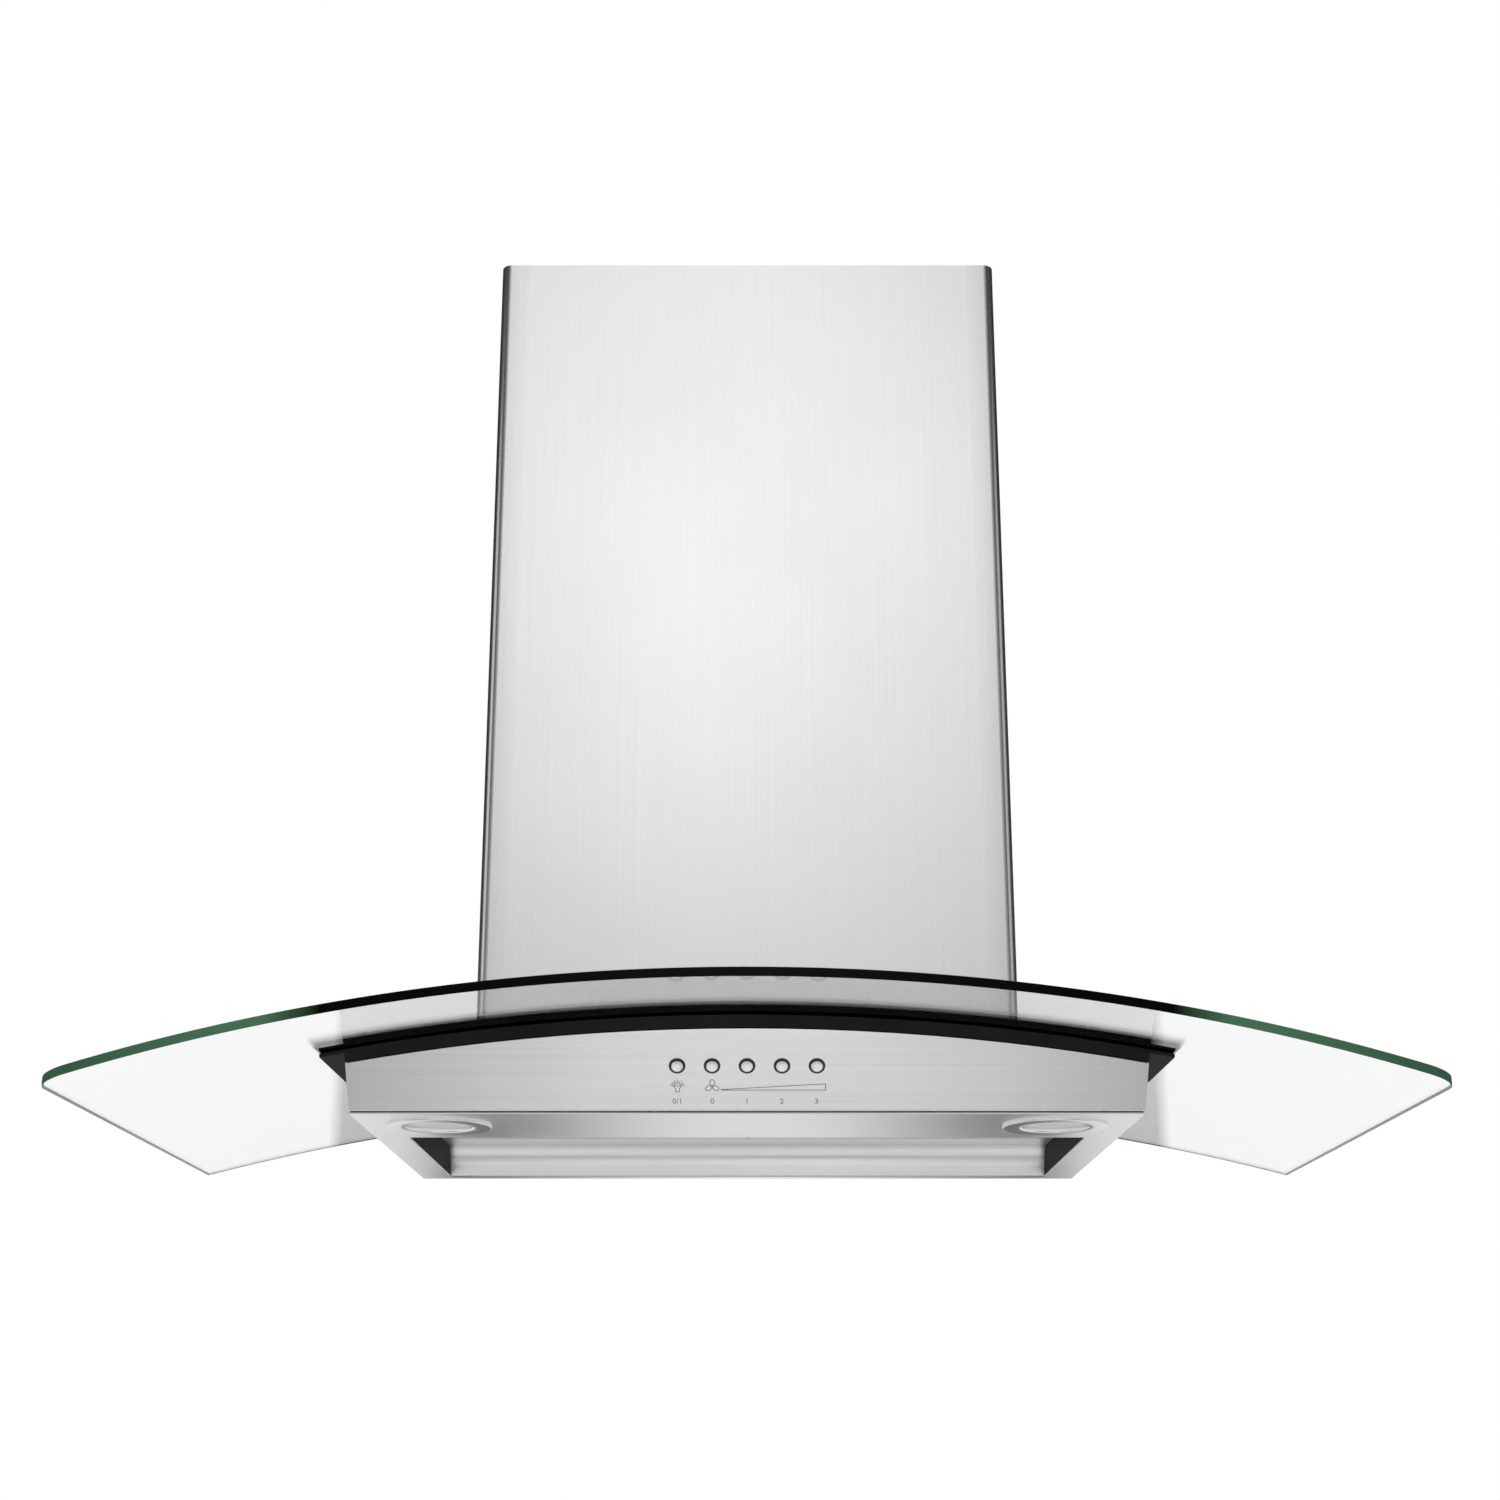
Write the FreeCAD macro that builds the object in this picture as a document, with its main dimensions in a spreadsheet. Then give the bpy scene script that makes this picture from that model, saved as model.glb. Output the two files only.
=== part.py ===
import FreeCAD, Part
import math
import os
import re

import Sketcher
from FreeCAD import Placement, Rotation, Vector

# A wall-hung range hood: a thin steel body under a bent glass canopy, and a chimney above it.
# +X is the hood's right, the wall is the plane y = 0 and the front points to -Y.
# Heights are measured from the body's underside. The origin is the centre of the four wall screws,
# so every sub-part's Placement lowers it by mount_height.

SIZES = [
    # body
    ("body_width", 540, "outside of the two body sides"),
    ("bottom_depth", 344, "wall to the lower edge of the front panel"),
    ("panel_lean", 36.5, "degrees that the front panel leans forward"),
    ("gauge", 1.0, "body sheet"),
    ("back_gauge", 1.5, "back panel sheet"),
    ("hem_height", 1.8, "underside to the front panel's folded edge"),
    ("hem_bend", 2.0, "outer radius of that fold"),
    ("hem_length", 10, "depth of that fold"),
    # wall fixing
    ("mount_height", 175, "underside to the centre of the wall screws"),
    ("wall_hole_inset", 18, "wall screws in from the sides of the back panel"),
    ("wall_rise", 150, "wall screws, low to high"),
    ("wall_hole_radius", 4, "wall screw hole"),
    ("spine_width", 320, "back panel above the glass, side to side"),
    # glass and what holds it
    ("glass_width", 900, "glass, side to side"),
    ("glass_depth", 500, "wall to the front of the glass"),
    ("glass_thick", 6, "glass"),
    ("glass_radius", 1770, "underside of the bent glass"),
    ("crown", 60.8, "underside of the body to the underside of the glass, in the middle"),
    ("front_radius", 2061, "front edge of the glass, in plan"),
    ("corner_radius", 26, "front corners of the glass"),
    ("glass_edge", 1.2, "rounding along the polished glass edge"),
    ("tape", 1.0, "foam gasket under the glass"),
    ("layer_gap", 0.1, "between glass, gasket, seat and clamp"),
    ("seat_width", 574, "glass seat, side to side"),
    ("seat_thick", 2.0, "glass seat sheet"),
    ("notch_gap", 5, "notch in the glass round the back panel and the blower casing"),
    ("seat_margin", 5, "notch in the seat wider than the one in the glass"),
    ("lip_drop", 8.6, "front lip of the seat, below the glass"),
    ("lip_gap", 0.2, "between that lip and the front panel"),
    ("gasket_band", 30, "width of the gasket along the sides and the front"),
    ("gasket_setback", 3, "gasket behind the front edge of the seat"),
    ("gasket_overlap", 3, "gasket beyond the clamp strips"),
    ("clamp_width", 24, "clamp strip"),
    ("clamp_margin", 3, "clamp strip to the notch and to the inside of the chimney"),
    ("clamp_thick", 2.5, "clamp strip"),
    ("clamp_back", 15, "wall to the rear end of a clamp strip"),
    ("clamp_front", 245, "wall to the front end of a clamp strip"),
    ("clamp_screw_spacing", 90, "between clamp screws"),
    ("clamp_hole_radius", 3.5, "clamp screw hole in steel"),
    ("glass_hole_radius", 5, "clamp screw hole in glass"),
    ("clamp_screw_radius", 2.5, "clamp screw shank"),
    ("clamp_head_radius", 5.5, "clamp screw head"),
    ("clamp_head_height", 3, "clamp screw head"),
    ("clamp_socket_radius", 2, "socket in that head"),
    ("clamp_screw_reach", 4, "clamp screw below the seat"),
    # intake
    ("intake_rim", 24, "bottom pan beside the opening"),
    ("intake_back", 12, "wall to the rear edge of the opening"),
    ("pan_front", 109, "bottom pan in front of the opening"),
    ("liner_ceiling", 24, "underside of the liner's ceiling strip"),
    ("liner_bend", 18, "bend between rear wall and ceiling"),
    ("ledge_depth", 80, "wall to the edge of the ceiling strip"),
    ("deck_margin", 3, "deck beyond the casing's foot flange"),
    ("deck_hole_inset", 10, "air hole in the deck, in from the casing"),
    # filters
    ("filter_drop", 2, "underside of the filters below the liner's ceiling strip"),
    ("filter_thick", 8, "filter frame"),
    ("deck_gap", 4, "deck above the filters"),
    ("filter_rim", 12, "rail of the filter frame"),
    ("filter_side_gap", 1.75, "filter to liner side"),
    ("filter_middle_gap", 0.75, "half the gap between the filters"),
    ("filter_back_gap", 1.2, "filter to the edge of the ceiling strip"),
    ("filter_front_gap", 1.5, "filter to the turned-up edge"),
    ("mesh_inset", 1.0, "mesh face behind the frame face"),
    ("mesh_gap", 0.2, "mesh to frame"),
    ("tongue_reach", 6, "rear tongue over the ceiling strip"),
    ("tongue_thick", 1.0, "rear tongue"),
    ("tongue_gap", 0.3, "rear tongue above the strip"),
    ("tongue_inset", 20, "ends of the tongue from the frame's ends"),
    ("pull_width", 50, "finger pull"),
    ("pull_drop", 12, "finger pull below the frame"),
    ("pull_thick", 2, "finger pull sheet"),
    ("clip_width", 24, "spring clip"),
    ("clip_thick", 0.6, "spring clip sheet"),
    ("clip_gap", 0.4, "spring clip below the filter"),
    ("clip_nose", 3.4, "spring clip's reach under the filter"),
    ("clip_foot", 6, "lower end of the spring clip"),
    # lamps
    ("lamp_offset", 216, "middle to lamp centre"),
    ("lamp_setback", 51, "lower edge of the front panel to lamp centre"),
    ("lamp_hole_radius", 33, "hole in the bottom pan"),
    ("lamp_ring_radius", 37, "flange of the lamp ring"),
    ("lamp_ring_drop", 1.8, "flange below the pan"),
    ("lamp_view_radius", 23.2, "visible lens"),
    ("lamp_recess", 3, "lens above the underside"),
    ("lamp_lens_thick", 2, "lens"),
    ("lamp_neck_wall", 2.8, "neck of the lamp ring"),
    ("lamp_neck_height", 7, "neck of the lamp ring above the underside"),
    ("lamp_body_height", 22, "lamp module"),
    ("lamp_rim", 2.5, "rim of the lamp module"),
    ("lamp_sink_inset", 4, "heat sink inside that rim"),
    ("lamp_fit", 0.2, "ring in its hole, lens in its ring"),
    # push buttons, measured up the slope of the front panel and in from its face
    ("button_rise", 36.3, "lower edge of the panel to the button row, along the slope"),
    ("button_pitch", 23.5, "between buttons"),
    ("button_radius", 4.0, "button cap"),
    ("button_proud", 1.4, "cap beyond the panel face"),
    ("button_travel", 1.8, "press of a button"),
    ("button_fit", 0.15, "cap in its sleeve"),
    ("button_edge", 0.5, "rounding of the cap"),
    ("sleeve_radius", 5.6, "black sleeve"),
    ("sleeve_fit", 0.05, "sleeve in the panel"),
    ("sleeve_proud", 0.4, "sleeve beyond the panel face"),
    ("collar_lip", 0.1, "collar that keeps the cap in, beyond the spring"),
    ("collar_gap", 0.3, "front of that collar to the shoulder in the guide"),
    ("collar_thick", 1.3, "that collar"),
    ("collar_fit", 0.5, "that collar in the guide"),
    ("guide_end", 13, "ends of the button guide beyond the outer buttons"),
    ("guide_rise", 20, "button guide, along the slope"),
    ("guide_depth", 6, "panel face to the back of the guide"),
    ("guide_shoulder", 2.6, "panel face to the shoulder in the guide"),
    ("pin_length", 1.8, "button's pin"),
    ("board_thick", 1.6, "switch board"),
    ("post_radius", 2.5, "board post"),
    ("post_inset", 3.5, "board post from the long edges of the guide"),
    ("post_end_inset", 5, "board post from the ends of the guide"),
    ("switch_size", 6, "tact switch, square"),
    ("switch_height", 3.5, "tact switch"),
    ("switch_plunger", 0.6, "tact switch plunger"),
    ("press_gap", 0.1, "button's pin to plunger at full travel"),
    ("pin_radius", 1.5, "button's pin"),
    ("spring_clearance", 0.26, "inside of the return spring to the corners of the tact switch"),
    ("spring_wire", 0.3, "radius of its wire"),
    ("spring_turns", 5, "its turns"),
    ("spring_gap", 0.1, "spring to collar and board"),
    # blower
    ("casing_width", 230, "blower casing"),
    ("casing_back", 3, "wall to the casing"),
    ("casing_top", 300, "top of the casing"),
    ("casing_flange", 12, "foot flange of the casing"),
    ("fan_depth", 122, "wall to the fan's axis"),
    ("fan_height", 160, "fan's axis"),
    ("scroll_width", 126, "scroll, along the axis"),
    ("wheel_gap", 10, "impeller to the scroll at its tongue"),
    ("scroll_step", 10, "growth of the scroll's radius in each quarter turn"),
    ("scroll_gap", 6, "scroll to the front of the casing"),
    ("inlet_radius", 62, "inlet in the scroll"),
    ("inlet_flange", 10, "flange of the inlet ring"),
    ("inlet_throat", 6, "inlet ring inside the scroll"),
    ("throat_gap", 2, "inlet ring to the impeller"),
    ("inlet_fit", 0.2, "inlet ring in its hole"),
    ("wheel_radius", 78, "impeller"),
    ("wheel_inner", 61, "inside of its blades"),
    ("wheel_ring", 4, "end ring of the impeller, inward from its rim"),
    ("wheel_ring_thick", 1.6, "end ring of the impeller"),
    ("blade_inset", 1.5, "blade tip inside the rim"),
    ("blade_count", 36, "blades"),
    ("blade_thick", 0.8, "blade"),
    ("blade_sweep", 6, "forward sweep of a blade"),
    ("hub_radius", 12, "impeller hub"),
    ("hub_half", 10, "hub, each side of the disc"),
    ("shaft_radius", 4, "motor shaft"),
    ("shaft_fit", 0.05, "shaft in the motor"),
    ("motor_radius", 44, "motor"),
    ("motor_edge", 4, "chamfer of the motor"),
    ("motor_hub_gap", 4, "motor to the impeller hub"),
    ("motor_end_gap", 1, "motor inside the scroll's right face"),
    ("cap_radius", 30, "motor's end cap"),
    ("cap_length", 6, "end cap"),
    ("bracket_thick", 2, "motor bracket sheet"),
    ("bracket_ring", 8, "rings of the motor bracket"),
    ("bracket_arm", 18, "arms of the motor bracket, degrees"),
    # duct collar and damper
    ("duct_depth", 165, "wall to the duct's axis"),
    ("duct_radius", 74.5, "outside of the collar"),
    ("duct_length", 50, "collar above its flange"),
    ("duct_flange", 160, "square flange"),
    ("duct_screw_inset", 6, "collar screws in from the sides of the flange"),
    ("damper_height", 12, "damper pins above the flange"),
    ("damper_offset", 5, "damper pins from the duct's axis"),
    ("damper_pin_radius", 1.5, "damper pin"),
    ("damper_pin_fit", 0.05, "damper pin in the collar"),
    ("damper_thick", 0.8, "damper flap"),
    ("damper_gap", 0.7, "flap to the collar wall"),
    # chimney
    ("chimney_depth", 275, "wall to the front of the lower cover"),
    ("chimney_top", 692, "top of the lower cover"),
    ("chimney_gauge", 1.0, "cover sheet"),
    ("chimney_bend", 8, "bent vertical edges"),
    ("chimney_return", 15, "turned-in rear edges"),
    ("chimney_gap", 0.3, "lower cover above the glass"),
    ("cover_gap", 0.4, "upper cover inside the lower one"),
    ("upper_top_gap", 4, "upper cover below the rim of the lower one"),
    ("upper_foot_gap", 22, "upper cover above the casing"),
    ("slot_width", 120, "air slot in the upper cover"),
    ("slot_height", 4, "air slot"),
    ("slot_pitch", 9, "between air slots"),
    ("slot_count", 5, "air slots in each side"),
    ("bracket_depth", 26, "cover brackets"),
    ("bracket_height", 20, "bracket of the lower cover"),
    ("bracket_gauge", 1.5, "cover bracket sheet"),
    ("bracket_gap", 0.3, "bracket to cover"),
    ("ceiling_bracket_height", 40, "bracket of the upper cover"),
    ("ceiling_bracket_drop", 10, "that bracket below the top of the cover"),
    ("ceiling_hole_span", 200, "wall holes of that bracket"),
    ("ceiling_hole_radius", 3, "wall hole of that bracket"),
    # electrical parts
    ("box_depth", 90, "junction box, front to back"),
    ("box_height", 100, "junction box"),
    ("box_reach", 35, "junction box, out from the casing"),
    ("box_back", 45, "wall to the junction box"),
    ("box_low", 130, "underside of the junction box"),
    ("box_wall", 1.5, "junction box wall"),
    ("gland_radius", 8, "hole for the cable gland"),
    ("gland_bore", 4, "cable hole in the gland"),
    ("gland_thread", 8, "gland below the box's top"),
    ("gland_flange", 4, "gland's flange beyond its thread"),
    ("gland_flange_height", 6, "gland's flange"),
    ("gland_cap", 2, "gland's cap beyond its thread"),
    ("gland_cap_height", 22, "gland above the box's top"),
    ("gland_chamfer", 4, "chamfer of the gland's cap"),
    ("capacitor_radius", 17, "motor capacitor"),
    ("capacitor_height", 65, "motor capacitor"),
    ("capacitor_low", 150, "underside of the capacitor"),
    ("capacitor_depth", 90, "wall to the capacitor's axis"),
    ("capacitor_gap", 0.3, "capacitor to casing and clip"),
    ("capacitor_step", 3, "chamfer of the capacitor's top"),
    ("clip_reach", 10, "foot plate of the capacitor clip beyond its band"),
    ("clip_band", 14, "height of the capacitor clip"),
    ("driver_width", 90, "lamp driver"),
    ("driver_depth", 38, "lamp driver, front to back"),
    ("driver_height", 22, "lamp driver"),
    ("driver_setback", 76, "lower edge of the front panel to the back of the lamp driver"),
    # sheet metal screws
    ("screw_radius", 2.0, "screw shank"),
    ("screw_hole_fit", 0.1, "screw in its hole"),
    ("screw_head_radius", 3.8, "screw head"),
    ("screw_head_height", 2.4, "screw head"),
    ("screw_length", 4.5, "screw below its head"),
    ("foot_screw_pitch", 85, "between the casing's foot screws"),
]
NAMES = {alias for alias, size, note in SIZES}

doc = FreeCAD.newDocument("range_hood")
sheet = doc.addObject("Spreadsheet::Sheet", "sizes")
for row, (alias, size, note) in enumerate(SIZES, 1):
    sheet.set(f"A{row}", note)
    sheet.set(f"B{row}", str(size))
    sheet.setAlias(f"B{row}", alias)
doc.recompute()

parts = []


# ---- sizes and formulas ------------------------------------------------------------------------

def formula(text):
    """The same formula with every size's name pointing into the spreadsheet."""
    return re.sub(r"[a-z_]+", lambda word: "sizes." + word[0] if word[0] in NAMES else word[0], str(text))


def value(text):
    """What a formula comes to now."""
    result = sheet.evalExpression(formula(text))
    return float(getattr(result, "Value", result))


def arch(across, radius):
    """Height of a cylinder that shares the glass's axis, at a distance from the middle."""
    return f"(crown - glass_radius + sqrt(({radius})^2 - ({across})^2))"


def slope_at(height, depth="0"):
    """Distance from the wall of the panel's slope at a height, a depth behind its face."""
    return f"(bottom_depth + ({height}) * tan(panel_lean) - ({depth}) / cos(panel_lean))"


GLASS_TOP = "(glass_radius + glass_thick)"
TAPE_TOP = "(glass_radius - layer_gap)"
TAPE_LOW = "(glass_radius - layer_gap - tape)"
SEAT_TOP = "(glass_radius - 2 * layer_gap - tape)"
SEAT_LOW = "(glass_radius - 2 * layer_gap - tape - seat_thick)"
LIP_LOW = "(glass_radius - lip_drop)"
HALF_BODY = "(body_width / 2)"
HALF_INTAKE = f"({HALF_BODY} - intake_rim)"
INTAKE_FRONT = "(bottom_depth - pan_front)"
LAMP_DEPTH = "(bottom_depth - lamp_setback)"
FILTER_LOW = "(liner_ceiling - filter_drop)"
DECK_LOW = f"({FILTER_LOW} + filter_thick + deck_gap)"
DECK_TOP = f"({DECK_LOW} + gauge)"
SCROLL_START = "(wheel_radius + wheel_gap)"
CASING_FRONT = f"(fan_depth + {SCROLL_START} + 3 * scroll_step + scroll_gap + gauge)"
NOTCH_HALF = "(spine_width / 2 + notch_gap)"
NOTCH_DEPTH = f"({CASING_FRONT} + notch_gap)"
CLAMP_INNER = f"({NOTCH_HALF} + clamp_margin)"
CLAMP_OUTER = f"({CLAMP_INNER} + clamp_width)"
HALF_CHIMNEY = f"({CLAMP_OUTER} + clamp_margin + chimney_gauge)"
BEYOND = "20"  # how far a cut's outline runs past the piece that it cuts
NEAR = 0.01  # coordinates closer than this are the same


# ---- sketches and features ---------------------------------------------------------------------

def new_body(label, turned=None):
    """A sub-part's body. turned is "panel" for the front panel's slope or "fan" for the fan's axis."""
    body = doc.addObject("PartDesign::Body", label)
    body.Label = label
    return settle(body, turned)


def settle(item, turned=None):
    """Bind a sub-part's Placement and enter it in the list of parts."""
    if turned == "panel":
        item.Placement = Placement(Vector(), Rotation(Vector(1, 0, 0), 90))
        item.setExpression("Placement.Rotation.Angle", formula("90 + panel_lean"))
        item.setExpression("Placement.Base.y", formula("-bottom_depth"))
        item.setExpression("Placement.Base.z", formula("-mount_height"))
    elif turned == "fan":
        item.Placement = Placement(Vector(), Rotation(Vector(0, 1, 0), 90))
        item.setExpression("Placement.Base.y", formula("-fan_depth"))
        item.setExpression("Placement.Base.z", formula("fan_height - mount_height"))
    else:
        item.setExpression("Placement.Base.z", formula("-mount_height"))
    parts.append(item)
    return item


def centre_of_arc(start, end, radius, side):
    """Centre of the shorter arc from start to end, on the left (1) or right (-1) of the way."""
    chord = end - start
    rise = math.sqrt(max(radius ** 2 - chord.Length ** 2 / 4, 0))
    normal = Vector(-chord.y, chord.x, 0).normalize()
    return (start + end) * 0.5 + normal * rise * side


def draw(body, plane, loops, offset="0"):
    """A fully bound sketch. A loop is ("circle", x, y, radius) or a list of corners (x, y), each with
    (radius, side) added where the edge that leaves it is an arc."""
    sketch = body.newObject("Sketcher::SketchObject", body.Label + "_sketch")
    origin_plane = [item for item in body.Origin.OriginFeatures if item.Role == plane + "_Plane"][0]
    sketch.AttachmentSupport = [(origin_plane, "")]
    sketch.MapMode = "FlatFace"
    sketch.setExpression("AttachmentOffset.Base.z", formula(offset))
    edges, rules, bound = [], [], []

    def rule(kind, *items, text):
        bound.append((len(rules), text))
        rules.append(Sketcher.Constraint(kind, *items, value(text)))

    def pin(edge, point, across, up):
        rule("DistanceX", -1, 1, edge, point, text=across)
        rule("DistanceY", -1, 1, edge, point, text=up)

    for loop in loops:
        first = len(edges)
        if loop[0] == "circle":
            across, up, radius = loop[1:]
            centre = Vector(value(across), value(up), 0)
            edges.append(Part.Circle(centre, Vector(0, 0, 1), value(radius)))
            pin(first, 3, across, up)
            rule("Radius", first, text=radius)
            continue
        ends = []
        for here, corner in enumerate(loop):
            after = loop[(here + 1) % len(loop)]
            start = Vector(value(corner[0]), value(corner[1]), 0)
            end = Vector(value(after[0]), value(after[1]), 0)
            if len(corner) == 2:
                edges.append(Part.LineSegment(start, end))
                ends.append((1, 2))
                continue
            radius, side = corner[2:]
            centre = centre_of_arc(start, end, value(radius), side)
            low, high = (start, end) if side > 0 else (end, start)
            angles = [math.atan2(at.y - centre.y, at.x - centre.x) for at in (low, high)]
            edges.append(Part.ArcOfCircle(Part.Circle(centre, Vector(0, 0, 1), value(radius)), *angles))
            ends.append((1, 2) if side > 0 else (2, 1))
        for here, corner in enumerate(loop):
            after = (here + 1) % len(loop)
            rules.append(Sketcher.Constraint(
                "Coincident", first + here, ends[here][1], first + after, ends[after][0]))
            pin(first + here, ends[here][0], corner[0], corner[1])
            if len(corner) > 2:
                rule("Radius", first + here, text=corner[2])
    sketch.addGeometry(edges, False)
    sketch.addConstraint(rules)
    for index, text in bound:
        sketch.setExpression(f"Constraints[{index}]", formula(text))
    return sketch


def box_loop(x_low, x_high, y_low, y_high):
    """The corners of a rectangle."""
    return [(x_low, y_low), (x_high, y_low), (x_high, y_high), (x_low, y_high)]


def feature(body, kind, sketch, length, way):
    """A pad or pocket. way is "up" or "down" the sketch's normal, or "both"."""
    item = body.newObject("PartDesign::" + kind, body.Label + "_" + kind.lower())
    item.Profile = sketch
    if length is None:
        item.Type = "ThroughAll"
    else:
        item.setExpression("Length", formula(length))
    item.SideType = "Symmetric" if way == "both" else "One side"
    item.Reversed = way == ("up" if kind == "Pocket" else "down")
    sketch.Visibility = False
    return item


def pad(body, plane, loops, length, way="up", offset="0"):
    """Material from a sketch."""
    return feature(body, "Pad", draw(body, plane, loops, offset), length, way)


def cut(body, plane, loops, length=None, way="both", offset="0"):
    """Remove material under a sketch, and make sure that some was there."""
    doc.recompute()
    before = body.Shape.Volume
    item = feature(body, "Pocket", draw(body, plane, loops, offset), length, way)
    doc.recompute()
    if not body.Shape.Volume < before:
        raise RuntimeError(f"{body.Label}: a cut removes nothing")
    return item


def revolve(body, loops, plane="XZ"):
    """Turn a sketch about its own vertical axis."""
    sketch = draw(body, plane, loops)
    item = body.newObject("PartDesign::Revolution", body.Label + "_turned")
    item.Profile = sketch
    item.ReferenceAxis = (sketch, ["V_Axis"])
    item.Angle = 360
    sketch.Visibility = False
    return item


def round_edges(body, chosen, radius):
    """Round the edges that chosen picks from the body's last feature."""
    doc.recompute()
    base = body.Tip
    names = [f"Edge{number}" for number, edge in enumerate(base.Shape.Edges, 1) if chosen(edge)]
    fillet = body.newObject("PartDesign::Fillet", body.Label + "_fillet")
    fillet.Base = (base, names)
    fillet.setExpression("Radius", formula(radius))
    return fillet


def turn_copies(body, item, count):
    """Copies of a feature round the body's own Z axis."""
    pattern = body.newObject("PartDesign::PolarPattern", body.Label + "_pattern")
    pattern.Originals = [item]
    axis = [axis for axis in body.Origin.OriginFeatures if axis.Role == "Z_Axis"][0]
    pattern.Axis = (axis, [""])
    pattern.Angle = 360
    if isinstance(count, str):
        pattern.setExpression("Occurrences", formula(count))
    else:
        pattern.Occurrences = count
    body.Tip = pattern
    return body


def arch_slab(body, inner, outer, low_x, high_x, length):
    """A bent sheet between two radii about the glass's axis, from the wall to the front."""
    inner_side, outer_side = 1, -1
    loop = [
        (low_x, arch(low_x, outer), outer, outer_side),
        (high_x, arch(high_x, outer)),
        (high_x, arch(high_x, inner), inner, inner_side),
        (low_x, arch(low_x, inner)),
    ]
    return pad(body, "XZ", [loop], length)


def group(label, solids, turned=None):
    """Finished solids as one node, such as a set of identical screws."""
    item = doc.addObject("Part::Feature", label)
    item.Label = label
    item.Shape = Part.makeCompound(solids)
    return settle(item, turned)


# ---- glass canopy and what holds it ------------------------------------------------------------

def notch_loop(margin="0"):
    """The blower's notch in plan, open at the wall."""
    half = f"({NOTCH_HALF} + {margin})"
    return box_loop(f"-{half}", half, f"-({NOTCH_DEPTH} + {margin})", BEYOND)


def clamp_holes(radius, sides=(-1, 1)):
    """Clamp screw holes in plan. The screws stand square on the glass."""
    places = []
    for side in sides:
        for step in (-1, 0, 1):
            along = f"-((clamp_back + clamp_front) / 2 + {step} * clamp_screw_spacing)"
            places.append(("circle", f"{side} * ({CLAMP_INNER} + {CLAMP_OUTER}) / 2", along, radius))
    return places


def glass_canopy():
    """Tempered glass: bent about one axis, arched at the front, notched at the wall."""
    body = new_body("glass_canopy")
    half = "(glass_width / 2)"
    arch_slab(body, "glass_radius", GLASS_TOP, f"-{half}", half, "glass_depth")
    # The front arc meets the straight side edges in round corners.
    arc_centre = "(front_radius - glass_depth)"
    corner_x = f"({half} - corner_radius)"
    corner_y = f"({arc_centre} - sqrt((front_radius - corner_radius)^2 - {corner_x}^2))"
    reach = "(front_radius / (front_radius - corner_radius))"
    touch_x = f"({corner_x} * {reach})"
    touch_y = f"({arc_centre} + ({corner_y} - {arc_centre}) * {reach})"
    outline = [
        (f"-{half}", "0"),
        (f"-{half}", corner_y, "corner_radius", 1),
        (f"-{touch_x}", touch_y, "front_radius", 1),
        (touch_x, touch_y, "corner_radius", 1),
        (half, corner_y),
        (half, "0"),
    ]
    around = box_loop(f"-{half} - {BEYOND}", f"{half} + {BEYOND}", f"-glass_depth - {BEYOND}", BEYOND)
    cut(body, "XY", [around, outline])
    cut(body, "XY", [notch_loop()])
    cut(body, "XY", clamp_holes("glass_hole_radius"))
    side_line, front_line = value(half), value(corner_y)

    def on_outline(edge):
        box = edge.BoundBox
        upright = box.XLength < NEAR and box.YLength < NEAR
        at_side = max(abs(box.XMin), abs(box.XMax)) > side_line - NEAR and box.YLength > NEAR
        return not upright and (at_side or box.YMax < front_line + NEAR)

    round_edges(body, on_outline, "glass_edge")
    return body


def glass_gasket():
    """Foam tape on the seat, along its sides and front and beside the blower."""
    body = new_body("glass_gasket")
    half = "(seat_width / 2 - layer_gap)"
    front = f"({slope_at(arch(half, SEAT_LOW))} - gasket_setback)"
    arch_slab(body, TAPE_LOW, TAPE_TOP, f"-{half}", half, front)
    cut(body, "XY", [notch_loop("seat_margin")])
    windows = []
    for side in (-1, 1):
        near, far = f"{side} * ({CLAMP_OUTER} + gasket_overlap)", f"{side} * ({half} - gasket_band)"
        windows.append(box_loop(near, far, f"-({front} - gasket_band)", "-clamp_back"))
    cut(body, "XY", windows)
    cut(body, "XY", clamp_holes("clamp_hole_radius"))
    return body


def glass_seat_frame():
    """Black sheet between body and glass, with side flanges and a lip down the front slope."""
    body = new_body("glass_seat_frame")
    half = "(seat_width / 2)"
    arch_slab(body, SEAT_LOW, SEAT_TOP, f"-{half}", half, slope_at("crown"))
    over = f"(crown + {BEYOND})"
    in_front = [
        (f"-{slope_at('0')}", "0"),
        (f"-{slope_at(over)}", over),
        (f"-{slope_at(over)}", "0"),
    ]
    cut(body, "YZ", [in_front])
    strip_low, strip_high = f"({arch(half, LIP_LOW)} - seat_thick)", "(crown + seat_thick)"
    strip = [
        (f"-{slope_at(strip_low)}", strip_low),
        (f"-{slope_at(strip_high)}", strip_high),
        (f"-{slope_at(strip_high, 'gauge')}", strip_high),
        (f"-{slope_at(strip_low, 'gauge')}", strip_low),
    ]
    pad(body, "YZ", [strip], "body_width", "both")
    wide = f"({half} + {BEYOND})"
    below = [
        (f"-{wide}", "-crown"),
        (wide, "-crown"),
        (wide, arch(wide, LIP_LOW), LIP_LOW, 1),
        (f"-{wide}", arch(wide, LIP_LOW)),
    ]
    above = [
        (f"-{wide}", arch(wide, SEAT_TOP), SEAT_TOP, -1),
        (wide, arch(wide, SEAT_TOP)),
        (wide, over),
        (f"-{wide}", over),
    ]
    cut(body, "XZ", [below])
    cut(body, "XZ", [above])
    cut(body, "XY", [notch_loop("seat_margin")])
    cut(body, "XY", clamp_holes("clamp_hole_radius"))
    return body


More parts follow.
